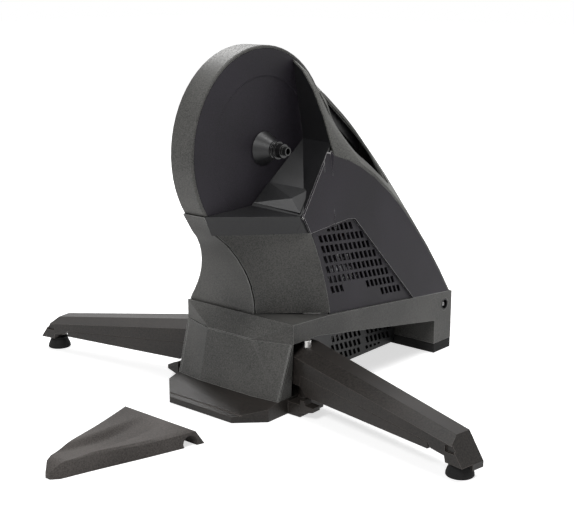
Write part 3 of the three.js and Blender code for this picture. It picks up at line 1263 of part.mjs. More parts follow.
function idlerArm() {
  const [y, z] = idlerCentre();
  const near = FRAME_FAR - GAP;
  const far = near - IDLER_ARM_T;
  const outline = [
    ...arc([y, z], IDLER_ARM_HALF, 90, 270, 6),
    [y + IDLER_ARM_L, z - IDLER_ARM_HALF - IDLER_ARM_HALF], [y + IDLER_ARM_L, z],
  ];
  const pin = rod([BELT_FAR, y, z], [near, y, z], IDLER_BORE_R, 16);
  return prism('x', outline, far, near).add(pin);
}

// Brake: a yoke over the rear of the flywheel's rim, with a coil on each side of the rim
const YOKE_START_ANGLE = 8;
const YOKE_END_ANGLE = 52;
const YOKE_T = 4;
const YOKE_INNER_R = 66;
const COIL_R = 17;
const COIL_AT = 90;
const COIL_GAP = 1;
const COIL_L = 9;

function brakeYoke() {
  const sector = (inner, outer) => [
    ...arc([WHEEL_Y, WHEEL_Z], inner, YOKE_START_ANGLE, YOKE_END_ANGLE, 6),
    ...arc([WHEEL_Y, WHEEL_Z], outer, YOKE_END_ANGLE, YOKE_START_ANGLE, 6),
  ];
  const near = FRAME_FAR - GAP;
  const far = WHEEL_FAR - COIL_GAP - COIL_L - GAP - YOKE_T;
  const rim = WHEEL_R + 2 * SPIN_GAP;
  const nearCheek = near - YOKE_T;
  return joined([
    prism('x', sector(YOKE_INNER_R, rim + YOKE_T), nearCheek, near),
    prism('x', sector(YOKE_INNER_R, rim + YOKE_T), far, far + YOKE_T),
    prism('x', sector(rim, rim + YOKE_T), far, near),
  ]);
}

function brakeCoil(from, to) {
  const middle = (YOKE_START_ANGLE + YOKE_END_ANGLE) / 2;
  const [y, z] = arc([WHEEL_Y, WHEEL_Z], COIL_AT, middle, middle, 1)[0];
  return rod([from, y, z], [to, y, z], COIL_R, 28);
}

// Control board: stands off the frame plate near the tail, with a few large parts on it
const BOARD_Y = 262;
const BOARD_Z = 140;
const BOARD_W = 62;
const BOARD_H = 44;
const BOARD_T = 1.6;
const BOARD_OFF = 4;

function controlBoard() {
  const start = FRAME_FAR + FRAME_T + GAP;
  const face = start + BOARD_OFF;
  const at = (shareY, shareZ) => [BOARD_Y + BOARD_W * shareY, BOARD_Z + BOARD_H * shareZ];
  const box = (shareY, shareZ, wide, high, tall) => {
    const [y, z] = at(shareY, shareZ);
    return block([face, y, z], [face + BOARD_T + tall, y + wide, z + high]);
  };
  const cornerShares = [[0.08, 0.12], [0.92, 0.12], [0.08, 0.88], [0.92, 0.88]];
  const posts = cornerShares.map(([a, b]) => {
    const [y, z] = at(a, b);
    return rod([start, y, z], [face + BOARD_T / 2, y, z], BOARD_OFF / 2, 12);
  });
  return joined([
    block([face, BOARD_Y, BOARD_Z], [face + BOARD_T, BOARD_Y + BOARD_W, BOARD_Z + BOARD_H]),
    box(0.15, 0.2, BOARD_W / 4, BOARD_H / 3, BOARD_OFF),
    box(0.55, 0.25, BOARD_W / 5, BOARD_H / 2, 2 * BOARD_OFF),
    box(0.2, 0.65, BOARD_W / 3, BOARD_H / 5, BOARD_OFF),
    ...posts,
  ]);
}

// Legs
const LEG_BOTTOM_Z = 28.4;
const LEG_FOOT_Z = 26.2;
const LEG_SEAM_Z = 56.6;
const LEG_SEAM_FALL_SHARE = 0.0905;
const LEG_SEAM_END = 241;
const LEG_ROOT_Z = 40;
const LEG_ROOT_END = 14;
const LEG_TIP_START = 246;
const LEG_TIP_Z = 28.7;
const LEG_TOE_Z = 18.4;
const LEG_LIP_T = 3.5; // a lip hangs down behind the foot, on its rear half
const LEG_LIP_Z = 10.6;
const LEG_CREASE_SHARE = -0.17;
const NOTCH_START = 268;
const NOTCH_END = 282;
const NOTCH_Z = 32;
const NOTCH_H = 9;
const NOTCH_DEPTH = 2;
const LEG_CLEARANCE = 2;
const SCREW_R = 4;
const SCREW_TOP = 33;

function legTopZ(u) {
  return LEG_TOP_Z - LEG_FALL_SHARE * u;
}

function legSeamZ(u) {
  return LEG_SEAM_Z - LEG_SEAM_FALL_SHARE * u;
}

function legPlan(inset) {
  const root = arc([0, 0], LEG_ROOT_HALF - inset, ...LEG_ROOT_ANGLES, 10);
  return [...root, [LEG_END - inset, -LEG_TIP_HALF + inset], [LEG_END - inset, LEG_TIP_HALF - inset]];
}

// The sloping front shoulder along the leg's top
function legShoulder() {
  const crease = (u, half) => [u, half * LEG_CREASE_SHARE, legTopZ(u)];
  return planeThrough(
    crease(0, LEG_ROOT_HALF),
    crease(LEG_TOP_END, LEG_TIP_HALF),
    [0, -LEG_ROOT_HALF, legTopZ(0) - LEG_SHOULDER],
    [0, -REACH, REACH],
  );
}

function legBody() {
  const side = [
    [-LEG_ROOT_HALF, legTopZ(-LEG_ROOT_HALF)], [-LEG_ROOT_HALF, LEG_ROOT_Z], [LEG_ROOT_END, LEG_ROOT_Z],
    [LEG_ROOT_END, legSeamZ(LEG_ROOT_END)], [LEG_SEAM_END, legSeamZ(LEG_SEAM_END)], [LEG_TIP_START, LEG_TIP_Z],
    [FOOT_U - FOOT_R / 2, LEG_FOOT_Z], [FOOT_U - FOOT_R / 2 + LEG_CLEARANCE, LEG_TOE_Z],
    [LEG_END - LEG_LIP_T, LEG_TOE_Z], [LEG_END - LEG_LIP_T, LEG_LIP_Z], [LEG_END, LEG_LIP_Z],
    [LEG_END, LEG_TOE_Z], [LEG_TOP_END, legTopZ(LEG_TOP_END)],
  ];
  const outer = behind(prism('z', legPlan(0), 0, REACH).intersect(prism('y', side, -REACH, REACH)), legShoulder());
  const hollowSide = [
    [LEG_ROOT_HALF, 0], [LEG_SEAM_END - LEG_WALL, 0], [LEG_SEAM_END - LEG_WALL, legTopZ(LEG_SEAM_END) - LEG_WALL],
    [LEG_ROOT_HALF, legTopZ(LEG_ROOT_HALF) - LEG_WALL],
  ];
  const hollow = behind(
    prism('z', legPlan(LEG_WALL), 0, REACH).intersect(prism('y', hollowSide, -REACH, REACH)),
    legShoulder(),
    LEG_WALL,
  );
  const pinHole = rod([0, 0, 0], [0, 0, REACH], PIN_R + GAP);
  const screwHole = rod([FOOT_U, 0, 0], [FOOT_U, 0, SCREW_TOP + LEG_CLEARANCE], SCREW_R + GAP, 16);
  const notch = block(
    [NOTCH_START, -REACH, NOTCH_Z],
    [NOTCH_END, -LEG_TIP_HALF + NOTCH_DEPTH, NOTCH_Z + NOTCH_H],
  );
  const lipTrim = block([LEG_END - LEG_LIP_T, -REACH, 0], [REACH, 0, LEG_TOE_Z]);
  return outer.subtract(joined([hollow, pinHole, screwHole, notch, lipTrim]));
}

function legCover() {
  const start = LEG_ROOT_END + GAP;
  const end = LEG_SEAM_END - GAP;
  const side = [
    [start, legSeamZ(start) - GAP], [start, LEG_ROOT_Z], [start + LEG_SHOULDER, LEG_BOTTOM_Z],
    [end, LEG_FOOT_Z], [end, legSeamZ(end) - GAP],
  ];
  const outer = prism('z', legPlan(0), 0, REACH).intersect(prism('y', side, -REACH, REACH));
  const hollowSide = [
    [start + LEG_WALL, REACH], [start + LEG_WALL, LEG_ROOT_Z],
    [start + LEG_SHOULDER + LEG_WALL, LEG_BOTTOM_Z + LEG_WALL],
    [end - LEG_WALL, LEG_FOOT_Z + LEG_WALL], [end - LEG_WALL, REACH],
  ];
  const hollow = prism('z', legPlan(LEG_WALL), 0, REACH).intersect(prism('y', hollowSide, -REACH, REACH));
  return outer.subtract(hollow);
}

function footPad() {
  const foot = new THREE.LatheGeometry([
    [0, 0], [FOOT_R, 0], [FOOT_R, FOOT_H * 0.25], [FOOT_R * 0.75, FOOT_H * 0.75],
    [FOOT_R * 0.7, FOOT_H], [0, FOOT_H],
  ].map(([radius, z]) => new THREE.Vector2(radius, z)), 24);
  foot.rotateX(Math.PI / 2);
  foot.translate(FOOT_U, 0, 0);
  return solidOf(foot);
}

function footScrew() {
  return rod([FOOT_U, 0, FOOT_H + GAP], [FOOT_U, 0, SCREW_TOP], SCREW_R, 16);
}

function legPin() {
  const top = BAND_UNDER_Z - GAP;
  return rod([HINGE_X, HINGE_Y, PIN_SEAT_Z + GAP], [HINGE_X, HINGE_Y, top], PIN_R);
}

// Leg latch: a thumb tab on the end of the base plate's arm
const LATCH_L = 22;
const LATCH_HALF = 8;
const LATCH_LOW = 6;
const LATCH_TOP = 25;
const LATCH_HOOK = 6;

function legLatch(side) {
  const start = ARM_HALF + GAP;
  const outline = [
    [start, LATCH_LOW], [start + LATCH_L, LATCH_LOW + LATCH_HOOK], [start + LATCH_L, LATCH_LOW + 2 * LATCH_HOOK],
    [start + LATCH_HOOK * 1.5, LATCH_TOP - LATCH_HOOK], [start + LATCH_HOOK, LATCH_TOP], [start, LATCH_TOP],
  ];
  const tab = prism('y', outline, LATCH_Y - LATCH_HALF, LATCH_Y + LATCH_HALF);
  return side < 0 ? mirrored(tab) : tab;
}

// Front wheel block: a leaf-shaped hollow riser with a trough for the tyre
const BLOCK_X = 7;
const BLOCK_TIP_Y = -366;
const BLOCK_BACK_Y = -186;
const BLOCK_HALF = 65;
const BLOCK_H = 25;
const BLOCK_WALL = 3;
const BLOCK_DRAFT_SHARE = 0.05;
const BLOCK_BACK_DRAFT = 12;
const BLOCK_EDGE = 2.5;
const BLOCK_GROOVE_HALF = 24; // a bicycle tyre rests in the groove
const BLOCK_GROOVE_DEPTH = 10;
const BLOCK_GRIP_R = 10;
const BLOCK_GRIP_X = 20;
const BLOCK_GRIP_Y = -193;
const BLOCK_GRIP_Z = 5;
const BLOCK_LENGTH_SHARES = [0, 0.03, 0.07, 0.12, 0.3, 0.6, 0.85, 1];
const BLOCK_HALF_SHARES = [0.06, 0.15, 0.2, 0.24, 0.395, 0.67, 0.88, 1];
const BLOCK_HEIGHT_SHARES = [0.32, 0.6, 0.82, 0.93, 0.93, 0.84, 0.83, 0.86];
const BLOCK_GROOVE_SHARES = [0, 0, 0.05, 0.3, 0.8, 1, 0.5, 0];
const BLOCK_LENGTH_STEPS = 22;
const BLOCK_ACROSS_STEPS = 24;

function blockShell(inset) {
  const halves = new THREE.CubicInterpolant(BLOCK_LENGTH_SHARES, BLOCK_HALF_SHARES, 1);
  const heights = new THREE.CubicInterpolant(BLOCK_LENGTH_SHARES, BLOCK_HEIGHT_SHARES, 1);
  const grooves = new THREE.CubicInterpolant(BLOCK_LENGTH_SHARES, BLOCK_GROOVE_SHARES, 1);
  const startY = BLOCK_TIP_Y + inset;
  const endY = BLOCK_BACK_Y - inset;
  const outline = (along, side, spread, lean) => [
    BLOCK_X + side * Math.max(BLOCK_HALF * halves.evaluate(along)[0] - inset, inset) * (1 + spread),
    THREE.MathUtils.lerp(startY, endY + lean, along),
  ];
  const surface = (along, side) => {
    const [x, y] = outline(along, side, 0, 0);
    const edge = BLOCK_EDGE * (Math.abs(side) === 1 || along === 1 ? 1 : 0);
    const inside = BLOCK_GROOVE_HALF - Math.abs(x - BLOCK_X);
    const across = THREE.MathUtils.smoothstep(inside, 0, BLOCK_GROOVE_HALF / 2);
    const groove = BLOCK_GROOVE_DEPTH * Math.max(grooves.evaluate(along)[0], 0) * across;
    return [x, y, BLOCK_H * heights.evaluate(along)[0] - groove - edge - inset];
  };
  const shares = steps(0, 1, BLOCK_LENGTH_STEPS);
  const sides = steps(-1, 1, BLOCK_ACROSS_STEPS);
  const floor = inset > 0 ? -OVERRUN : 0;
  const foot = (along, side) => [...outline(along, side, BLOCK_DRAFT_SHARE, BLOCK_BACK_DRAFT), floor];
  return closedGrid(gridOf(surface, shares, sides), gridOf(foot, shares, sides));
}

function wheelBlock() {
  const grips = [1, -1].map((side) => rod(
    [BLOCK_X + side * BLOCK_GRIP_X, BLOCK_GRIP_Y, BLOCK_GRIP_Z],
    [BLOCK_X + side * (BLOCK_HALF + OVERRUN), BLOCK_GRIP_Y, BLOCK_GRIP_Z],
    BLOCK_GRIP_R, 16,
  ));
  return blockShell(0).subtract(blockShell(BLOCK_WALL)).subtract(grips[0]).subtract(grips[1]);
}

// Assembly
piece('base_plate', basePlate(), BROWN_BLACK);
piece('floor_rail', floorRail(), CAST);
piece('frame_plate', framePlate(), CAST);
piece('axle_bracket', axleBracket(), CAST);
piece('bearing_housing', bearingHousing(), CAST);
piece('base_band', baseBand(), GREY);
piece('rear_foot', rearFoot(), RUBBER);
piece('nose_panel', nosePanel(), LIGHT_GREY);
piece('nose_shroud', noseShroud(), GREY);
piece('neck_cover', neckCover(), GREY);
piece('flank_cover_far', flankCover(), GREY);
piece('recess_cover_far', recessCoverFar(), BLACK);
piece('recess_cover_near', recessCoverNear(), BLACK);
piece('shelf_cover_near', shelfCoverNear(), GREY);
piece('shoulder_panel_near', shoulderPanel(), GREY);
piece('side_panel_near', sidePanel(1), SLATE);
piece('side_panel_far', sidePanel(-1), SLATE);
piece('grille_near', grilleNear(), SLATE);
piece('grille_far', grilleFar(), SLATE);
piece('lower_vent_near', lowerVent(1), BLACK);
piece('lower_vent_far', lowerVent(-1), BLACK);
piece('spine_cover', spineCover(), LIGHT_GREY);
piece('handle_grip', handleGrip(), BLACK);
piece('pulley_case', pulleyCase(), GREY);
piece('pulley_cover', pulleyCover(), SLATE);
piece('hub_cone', hubCone(), BLACK);
piece('hub_axle', hubAxle(), STEEL);
piece('end_cap_near', endCapNear(), GLOSS_BLACK);
piece('end_cap_far', endCapFar(), GLOSS_BLACK);
piece('hub_bearing_near', hubBearing(FRAME_FAR - SPIN_GAP / 2, FRAME_FAR + FRAME_T), STEEL);
piece('hub_bearing_far', hubBearing(BRACKET_NEAR - BRACKET_T, BRACKET_NEAR), STEEL);
piece('drive_pulley', drivePulley(), CAST);
piece('freehub_body', freehubBody(), STEEL);
piece('drive_belt', driveBelt(), RUBBER);
piece('flywheel_shaft', flywheelShaft(), STEEL);
piece('flywheel', flywheelDisc(), STEEL);
piece('belt_pinion', beltPinion(), STEEL);
piece('shaft_bearing_far', shaftBearing(FRAME_FAR + FRAME_T + 2 * GAP), STEEL);
piece('shaft_bearing_near', shaftBearing(HOUSING_END - SHAFT_BEARING - GAP), STEEL);
piece('brake_yoke', brakeYoke(), CAST);
piece('brake_coil_far', brakeCoil(WHEEL_FAR - COIL_GAP - COIL_L, WHEEL_FAR - COIL_GAP), COPPER);
piece('brake_coil_near', brakeCoil(WHEEL_NEAR + COIL_GAP, FRAME_FAR - 2 * GAP - YOKE_T), COPPER);
piece('idler_arm', idlerArm(), CAST);
piece('idler_roller', idlerRoller(), STEEL);
piece('control_board', controlBoard(), BOARD_GREEN);
piece('power_socket', powerSocket(), BLACK);
piece('wheel_block', wheelBlock(), BLOCK_GREY);
for (const [suffix, side] of [['near', 1], ['far', -1]]) {
  const leg = new THREE.Group();
  leg.position.set(side * HINGE_X, HINGE_Y, 0);
  const turn = THREE.MathUtils.degToRad(LEG_SPREAD_ANGLE);
  leg.rotation.z = side > 0 ? turn : Math.PI - turn;
  const placed = (solid) => (side > 0 ? solid : mirrored(solid, 1));
  trainer.add(leg);
  piece(`leg_${suffix}`, placed(legBody()), BROWN_BLACK, leg);
  piece(`leg_cover_${suffix}`, placed(legCover()), BROWN_BLACK, leg);
  piece(`foot_pad_${suffix}`, placed(footPad()), RUBBER, leg);
  piece(`foot_screw_${suffix}`, placed(footScrew()), STEEL, leg);
  piece(`leg_pin_${suffix}`, side > 0 ? legPin() : mirrored(legPin()), STEEL);
  piece(`leg_latch_${suffix}`, legLatch(side), BROWN_BLACK);
}

export default trainer;
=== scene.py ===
import math

import bmesh
import bpy
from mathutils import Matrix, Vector
from mathutils.bvhtree import BVHTree


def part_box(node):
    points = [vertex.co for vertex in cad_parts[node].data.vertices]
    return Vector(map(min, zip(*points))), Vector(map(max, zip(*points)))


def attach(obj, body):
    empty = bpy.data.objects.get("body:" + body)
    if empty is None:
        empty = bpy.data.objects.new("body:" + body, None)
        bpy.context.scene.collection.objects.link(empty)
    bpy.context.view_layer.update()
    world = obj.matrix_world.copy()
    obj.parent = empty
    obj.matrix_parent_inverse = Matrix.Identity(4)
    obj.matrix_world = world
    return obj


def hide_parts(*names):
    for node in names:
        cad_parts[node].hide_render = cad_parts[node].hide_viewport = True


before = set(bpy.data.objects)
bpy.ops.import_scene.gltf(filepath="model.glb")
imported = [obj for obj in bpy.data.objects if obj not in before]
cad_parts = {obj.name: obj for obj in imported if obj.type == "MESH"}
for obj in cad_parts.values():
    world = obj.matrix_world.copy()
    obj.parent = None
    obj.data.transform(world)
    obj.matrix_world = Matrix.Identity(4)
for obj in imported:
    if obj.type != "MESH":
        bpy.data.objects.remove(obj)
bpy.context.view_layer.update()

scene = bpy.context.scene
scene.view_settings.view_transform = "Standard"

# Camera: it stands in front of the nose on the near side, a little above the axle. Its
# place and lens were fitted to the level feet, the round case and the straight edges.
CAMERA_PLACE = Vector((0.99117, -1.10352, 0.56601))
CAMERA_AZIMUTH = math.radians(40.019)
CAMERA_RISE = math.radians(13.946)
CAMERA_LENS = 69.77
SENSOR_WIDTH = 36

backward = Vector((
    math.sin(CAMERA_AZIMUTH) * math.cos(CAMERA_RISE),
    -math.cos(CAMERA_AZIMUTH) * math.cos(CAMERA_RISE),
    math.sin(CAMERA_RISE),
))
camera = bpy.data.objects.new("camera", bpy.data.cameras.new("camera"))
camera.data.lens = CAMERA_LENS
camera.data.sensor_width = SENSOR_WIDTH
camera.location = CAMERA_PLACE
camera.rotation_euler = (-backward).to_track_quat("-Z", "Y").to_euler()
scene.collection.objects.link(camera)
scene.camera = camera

# Base plate: a ramped steel foot plate under the nose, with an arm on each side. It is
# powder coated brown-black, and the coat has a fine orange peel.
MM = 0.001  # sizes are in millimetres, and the studio's in metres


def new_material(name):
    """An empty principled material with its node tree, ready for a finish."""
    material = bpy.data.materials.new(name)
    material.use_nodes = True
    tree = material.node_tree
    return material, tree.nodes, tree.links, tree.nodes["Principled BSDF"]


def add_noise(nodes, links, size, detail=2):
    """Noise in the piece's own frame, with lumps about size millimetres across."""
    place = nodes.new("ShaderNodeTexCoord")
    noise = nodes.new("ShaderNodeTexNoise")
    noise.inputs["Scale"].default_value = 1 / (size * MM)
    noise.inputs["Detail"].default_value = detail
    links.new(place.outputs["Object"], noise.inputs["Vector"])
    return noise.outputs["Fac"]


NOISE_LOW, NOISE_HIGH = 0.37, 0.63  # most of a noise lies between these


def add_range(nodes, links, value, low, high):
    """Spreads the middle of a noise over the range from low to high."""
    spread = nodes.new("ShaderNodeMapRange")
    spread.inputs["From Min"].default_value = NOISE_LOW
    spread.inputs["From Max"].default_value = NOISE_HIGH
    spread.inputs["To Min"].default_value = low
    spread.inputs["To Max"].default_value = high
    links.new(value, spread.inputs["Value"])
    return spread.outputs["Result"]


MIX_FACTOR, MIX_FIRST, MIX_SECOND, MIX_COLOUR = 0, 6, 7, 2  # a Mix node's colour sockets


def add_tone(nodes, links, factor, dark, light):
    """A colour between dark and light."""
    tone = nodes.new("ShaderNodeMix")
    tone.data_type = "RGBA"
    tone.inputs[MIX_FIRST].default_value = (*dark, 1)
    tone.inputs[MIX_SECOND].default_value = (*light, 1)
    links.new(factor, tone.inputs[MIX_FACTOR])
    return tone.outputs[MIX_COLOUR]


def add_relief(nodes, links, shader, height, depth):
    """A bump of depth millimetres from a height between 0 and 1."""
    bump = nodes.new("ShaderNodeBump")
    bump.inputs["Distance"].default_value = depth * MM
    links.new(height, bump.inputs["Height"])
    links.new(bump.outputs["Normal"], shader.inputs["Normal"])


# Painted edge highlight: how far round an edge the lighter colour reaches, and where it begins and
# is full.
HIGHLIGHT_REACH = 1.0
HIGHLIGHT_SAMPLES = 8
HIGHLIGHT_BEGINS, HIGHLIGHT_FULL = 0.985, 0.9  # cosines of how far the rounded surface leans


def add_painted_edge_highlight(nodes, links, colour, light):
    """Paints a highlight along the edges: it lightens a colour there, as where a moulding catches
    the light.
    """
    rounded = nodes.new("ShaderNodeBevel")
    rounded.samples = HIGHLIGHT_SAMPLES
    rounded.inputs["Radius"].default_value = HIGHLIGHT_REACH * MM
    plain = nodes.new("ShaderNodeNewGeometry")
    turn = nodes.new("ShaderNodeVectorMath")
    turn.operation = "DOT_PRODUCT"
    links.new(rounded.outputs["Normal"], turn.inputs[0])
    links.new(plain.outputs["True Normal"], turn.inputs[1])
    highlight_mask = nodes.new("ShaderNodeMapRange")
    highlight_mask.inputs["From Min"].default_value = HIGHLIGHT_BEGINS
    highlight_mask.inputs["From Max"].default_value = HIGHLIGHT_FULL
    links.new(turn.outputs["Value"], highlight_mask.inputs["Value"])
    tone = nodes.new("ShaderNodeMix")
    tone.data_type = "RGBA"
    tone.inputs[MIX_SECOND].default_value = (*light, 1)
    links.new(highlight_mask.outputs["Result"], tone.inputs[MIX_FACTOR])
    links.new(colour, tone.inputs[MIX_FIRST])
    return tone.outputs[MIX_COLOUR]


GRAIN_SHARE, DRIFT_SHARE = 0.65, 0.35  # of the colour's change
RELIEF_GRAIN = 0.6  # the relief is finer than the speckles
GLOSS_SPREAD = 0.06


def grained(name, dark, light, grain, rough, depth, drift=90, shine=0.25, edge_highlight=None):
    """A grained finish: speckled colour on a slow drift, a finer relief, and any painted edge
    highlight.
    """
    material, nodes, links, shader = new_material(name)
    speckle = add_noise(nodes, links, grain, detail=3)
    slow = add_noise(nodes, links, drift, detail=1)
    mixed = nodes.new("ShaderNodeMath")
    mixed.operation = "MULTIPLY_ADD"
    mixed.inputs[1].default_value = DRIFT_SHARE
    links.new(slow, mixed.inputs[0])
    scaled = nodes.new("ShaderNodeMath")
    scaled.operation = "MULTIPLY"
    scaled.inputs[1].default_value = GRAIN_SHARE
    links.new(speckle, scaled.inputs[0])
    links.new(scaled.outputs[0], mixed.inputs[2])
    factor = add_range(nodes, links, mixed.outputs[0], 0, 1)
    colour = add_tone(nodes, links, factor, dark, light)
    # painted highlight along the edges, where light would catch them
    if edge_highlight:
        colour = add_painted_edge_highlight(nodes, links, colour, edge_highlight)
    links.new(colour, shader.inputs["Base Color"])
    gloss = add_range(nodes, links, speckle, rough - GLOSS_SPREAD, rough + GLOSS_SPREAD)
    links.new(gloss, shader.inputs["Roughness"])
    add_relief(nodes, links, shader, add_noise(nodes, links, grain * RELIEF_GRAIN), depth)
    shader.inputs["Specular IOR Level"].default_value = shine
    return material


WELD_REACH = 0.01


def smoothing_group(name, least_turn):
    """Geometry nodes that join a faceted solid's corners and shade its shallow edges smooth."""
    group = bpy.data.node_groups.new(name, "GeometryNodeTree")
    group.interface.new_socket("Geometry", in_out="INPUT", socket_type="NodeSocketGeometry")
    group.interface.new_socket("Geometry", in_out="OUTPUT", socket_type="NodeSocketGeometry")
    nodes, links = group.nodes, group.links
    source, result = nodes.new("NodeGroupInput"), nodes.new("NodeGroupOutput")
    plain = nodes.new("GeometryNodeRemoveAttribute")
    plain.inputs["Name"].default_value = "custom_normal"
    merged = nodes.new("GeometryNodeMergeByDistance")
    merged.inputs["Distance"].default_value = WELD_REACH * MM
    smooth = nodes.new("GeometryNodeSetShadeSmooth")
    sharp = nodes.new("GeometryNodeSetShadeSmooth")
    sharp.domain = "EDGE"
    sharp.inputs["Shade Smooth"].default_value = False
    turn = nodes.new("GeometryNodeInputMeshEdgeAngle")
    steep = nodes.new("FunctionNodeCompare")
    steep.data_type = "FLOAT"
    steep.operation = "GREATER_THAN"
    steep.inputs["B"].default_value = least_turn
    links.new(source.outputs[0], plain.inputs["Geometry"])
    links.new(plain.outputs["Geometry"], merged.inputs["Geometry"])
    links.new(merged.outputs["Geometry"], smooth.inputs["Geometry"])
    links.new(smooth.outputs["Geometry"], sharp.inputs["Geometry"])
    links.new(turn.outputs["Unsigned Angle"], steep.inputs["A"])
    links.new(steep.outputs["Result"], sharp.inputs["Selection"])
    links.new(sharp.outputs["Geometry"], result.inputs[0])
    return group


EDGE_TURN = math.radians(32)
CREASE_TURN = math.radians(17)
SMOOTHING = smoothing_group("smooth_shallow_edges", EDGE_TURN)
CREASED = smoothing_group("keep_shallow_creases", CREASE_TURN)
EASED_STEPS = 2


def dress(material, *nodes, ease=0, group=SMOOTHING):
    """Gives CAD nodes a finish, and eases their sharp edges by ease millimetres."""
    for name in nodes:
        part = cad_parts[name]
        part.data.materials.clear()
        part.data.materials.append(material)
        smoothing = part.modifiers.new("smoothing", "NODES")
        smoothing.node_group = group
        if ease:
            eased = part.modifiers.new("eased", "BEVEL")
            eased.width = ease * MM
            eased.segments = EASED_STEPS
            eased.limit_method = "ANGLE"
            eased.angle_limit = EDGE_TURN
            eased.harden_normals = True


LEG_DARK = (0.01, 0.0088, 0.008)
LEG_LIGHT = (0.032, 0.0275, 0.0245)
# painted highlight colour for the edges of the leg paint
LEG_EDGE_HIGHLIGHT = (0.1, 0.088, 0.08)
leg_paint = grained(
    "leg_paint", LEG_DARK, LEG_LIGHT, grain=2.2, rough=0.42, depth=0.05, edge_highlight=LEG_EDGE_HIGHLIGHT,
)
dress(leg_paint, "base_plate", ease=0.8)

# Frame: laser-cut steel plate, bracket and rail, painted black, with a turned aluminium
# bearing housing bolted on. It stands on the base plate and carries everything that turns.
FRAME_DARK = (0.008, 0.008, 0.009)
FRAME_LIGHT = (0.018, 0.018, 0.019)
ALUMINIUM = (0.42, 0.42, 0.43)
RING_STEP = 0.5
RING_STRETCH = 14
RING_SHADE = 0.8
RING_GLOSS = 0.08
RING_DEPTH = 0.02


def lathe_turned(name, colour, rough):
    """Turned metal: fine rings round an axis parallel to X, in the colour, gloss and relief."""
    material, nodes, links, shader = new_material(name)
    place = nodes.new("ShaderNodeTexCoord")
    stretch = nodes.new("ShaderNodeMapping")
    stretch.inputs["Scale"].default_value = (1 / (RING_STEP * MM), RING_STRETCH, RING_STRETCH)
    links.new(place.outputs["Object"], stretch.inputs["Vector"])
    noise = nodes.new("ShaderNodeTexNoise")
    noise.inputs["Scale"].default_value = 1
    noise.inputs["Detail"].default_value = 2
    links.new(stretch.outputs["Vector"], noise.inputs["Vector"])
    rings = noise.outputs["Fac"]
    shade = add_range(nodes, links, rings, 0, 1)
    dark = [value * RING_SHADE for value in colour]
    links.new(add_tone(nodes, links, shade, dark, colour), shader.inputs["Base Color"])
    gloss = add_range(nodes, links, rings, rough - RING_GLOSS, rough + RING_GLOSS)
    links.new(gloss, shader.inputs["Roughness"])
    add_relief(nodes, links, shader, rings, RING_DEPTH)
    shader.inputs["Metallic"].default_value = 1
    return material


frame_paint = grained("frame_paint", FRAME_DARK, FRAME_LIGHT, grain=3, rough=0.5, depth=0.04)
pulley_metal = lathe_turned("pulley_metal", ALUMINIUM, rough=0.42)
dress(frame_paint, "floor_rail", "frame_plate", "axle_bracket", ease=0.4)
dress(pulley_metal, "bearing_housing", ease=0.4)

# Frame screws: zinc-plated socket heads on the near face of the frame plate, seen through
# the slots of the grille. Each head is turned, with a round socket sunk into it.
SCREW_PLACES = [(214, 161), (203, 162), (167, 170), (163, 194), (153, 193), (147, 231)]
SCREW_RADIUS = 3.4
SCREW_HEIGHT = 3.2
HOLE_RADIUS = 1.6
HOLE_FLOOR = 1.2
HEAD_CORE = 0.1  # the turned form closes round a pinhole of this radius
HEAD_SIDES = 20
PLATE_FACE = 19.5
ZINC_DARK = (0.3, 0.3, 0.3)
ZINC_LIGHT = (0.5, 0.5, 0.5)
ACROSS = Vector((1, 0, 0))
UP = Vector((0, 0, 1))


def add_piece(name, form, material, body):
    """A piece of this scene's own, from a bmesh form, that rides on a body of the trainer."""
    mesh = bpy.data.meshes.new(name)
    bmesh.ops.recalc_face_normals(form, faces=form.faces)
    form.to_mesh(mesh)
    form.free()
    mesh.materials.append(material)
    piece = bpy.data.objects.new(name, mesh)
    scene.collection.objects.link(piece)
    piece.modifiers.new("smoothing", "NODES").node_group = SMOOTHING
    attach(piece, body)
    return piece


def loop_skin(form, rows):
    """Joins rows of points into a closed skin; the rows and the points in a row go round."""
    made = [[form.verts.new(point) for point in row] for row in rows]
    for row, after in zip(made, made[1:] + made[:1]):
        for i in range(len(row)):
            j = (i + 1) % len(row)
            form.faces.new((row[i], row[j], after[j], after[i]))


def lathe_form(outline, place, axis, sides):
    """A closed outline of points (along, radius) in millimetres, turned round an axis."""
    across = ACROSS if axis == UP else UP
    other = axis.cross(across)
    rows = []
    for k in range(sides):
        angle = 2 * math.pi * k / sides
        out = across * math.cos(angle) + other * math.sin(angle)
        rows.append([place + (axis * along + out * radius) * MM for along, radius in outline])
    form = bmesh.new()
    loop_skin(form, rows)
    return form


zinc = grained("zinc", ZINC_DARK, ZINC_LIGHT, grain=1.2, rough=0.3, depth=0.01, shine=0.8)
head_outline = [
    (0, HEAD_CORE), (0, SCREW_RADIUS), (SCREW_HEIGHT, SCREW_RADIUS),
    (SCREW_HEIGHT, HOLE_RADIUS), (HOLE_FLOOR, HOLE_RADIUS), (HOLE_FLOOR, HEAD_CORE),
]
for count, (height, along) in enumerate(SCREW_PLACES):
    head_place = Vector((PLATE_FACE, along, height)) * MM
    head = lathe_form(head_outline, head_place, ACROSS, HEAD_SIDES)
    add_piece(f"frame_screw_{count + 1}", head, zinc, "frame")

# Flywheel and drive: a heavy turned steel disc on its shaft with pinion and bearings, and
# the drive pulley, whose rubber belt is held tight by an idler. The brake's painted yoke
# has two coils of enamelled copper wire, and stands over the flywheel's rim.
STEEL = (0.55, 0.54, 0.53)
RUBBER_DARK = (0.008, 0.008, 0.008)
RUBBER_LIGHT = (0.02, 0.02, 0.02)
COPPER = (0.55, 0.22, 0.08)
WIRE = 1.2
WAVE_LENGTH = 0.314  # metres from crest to crest in a wave texture of scale 1
WIRE_WANDER = 0.3
WIRE_GAP = 0.35
WIRE_GLOSS = (0.28, 0.42)
WIRE_PATCH = 6
WIRE_RELIEF = 0.3
WIRE_METAL = 0.9


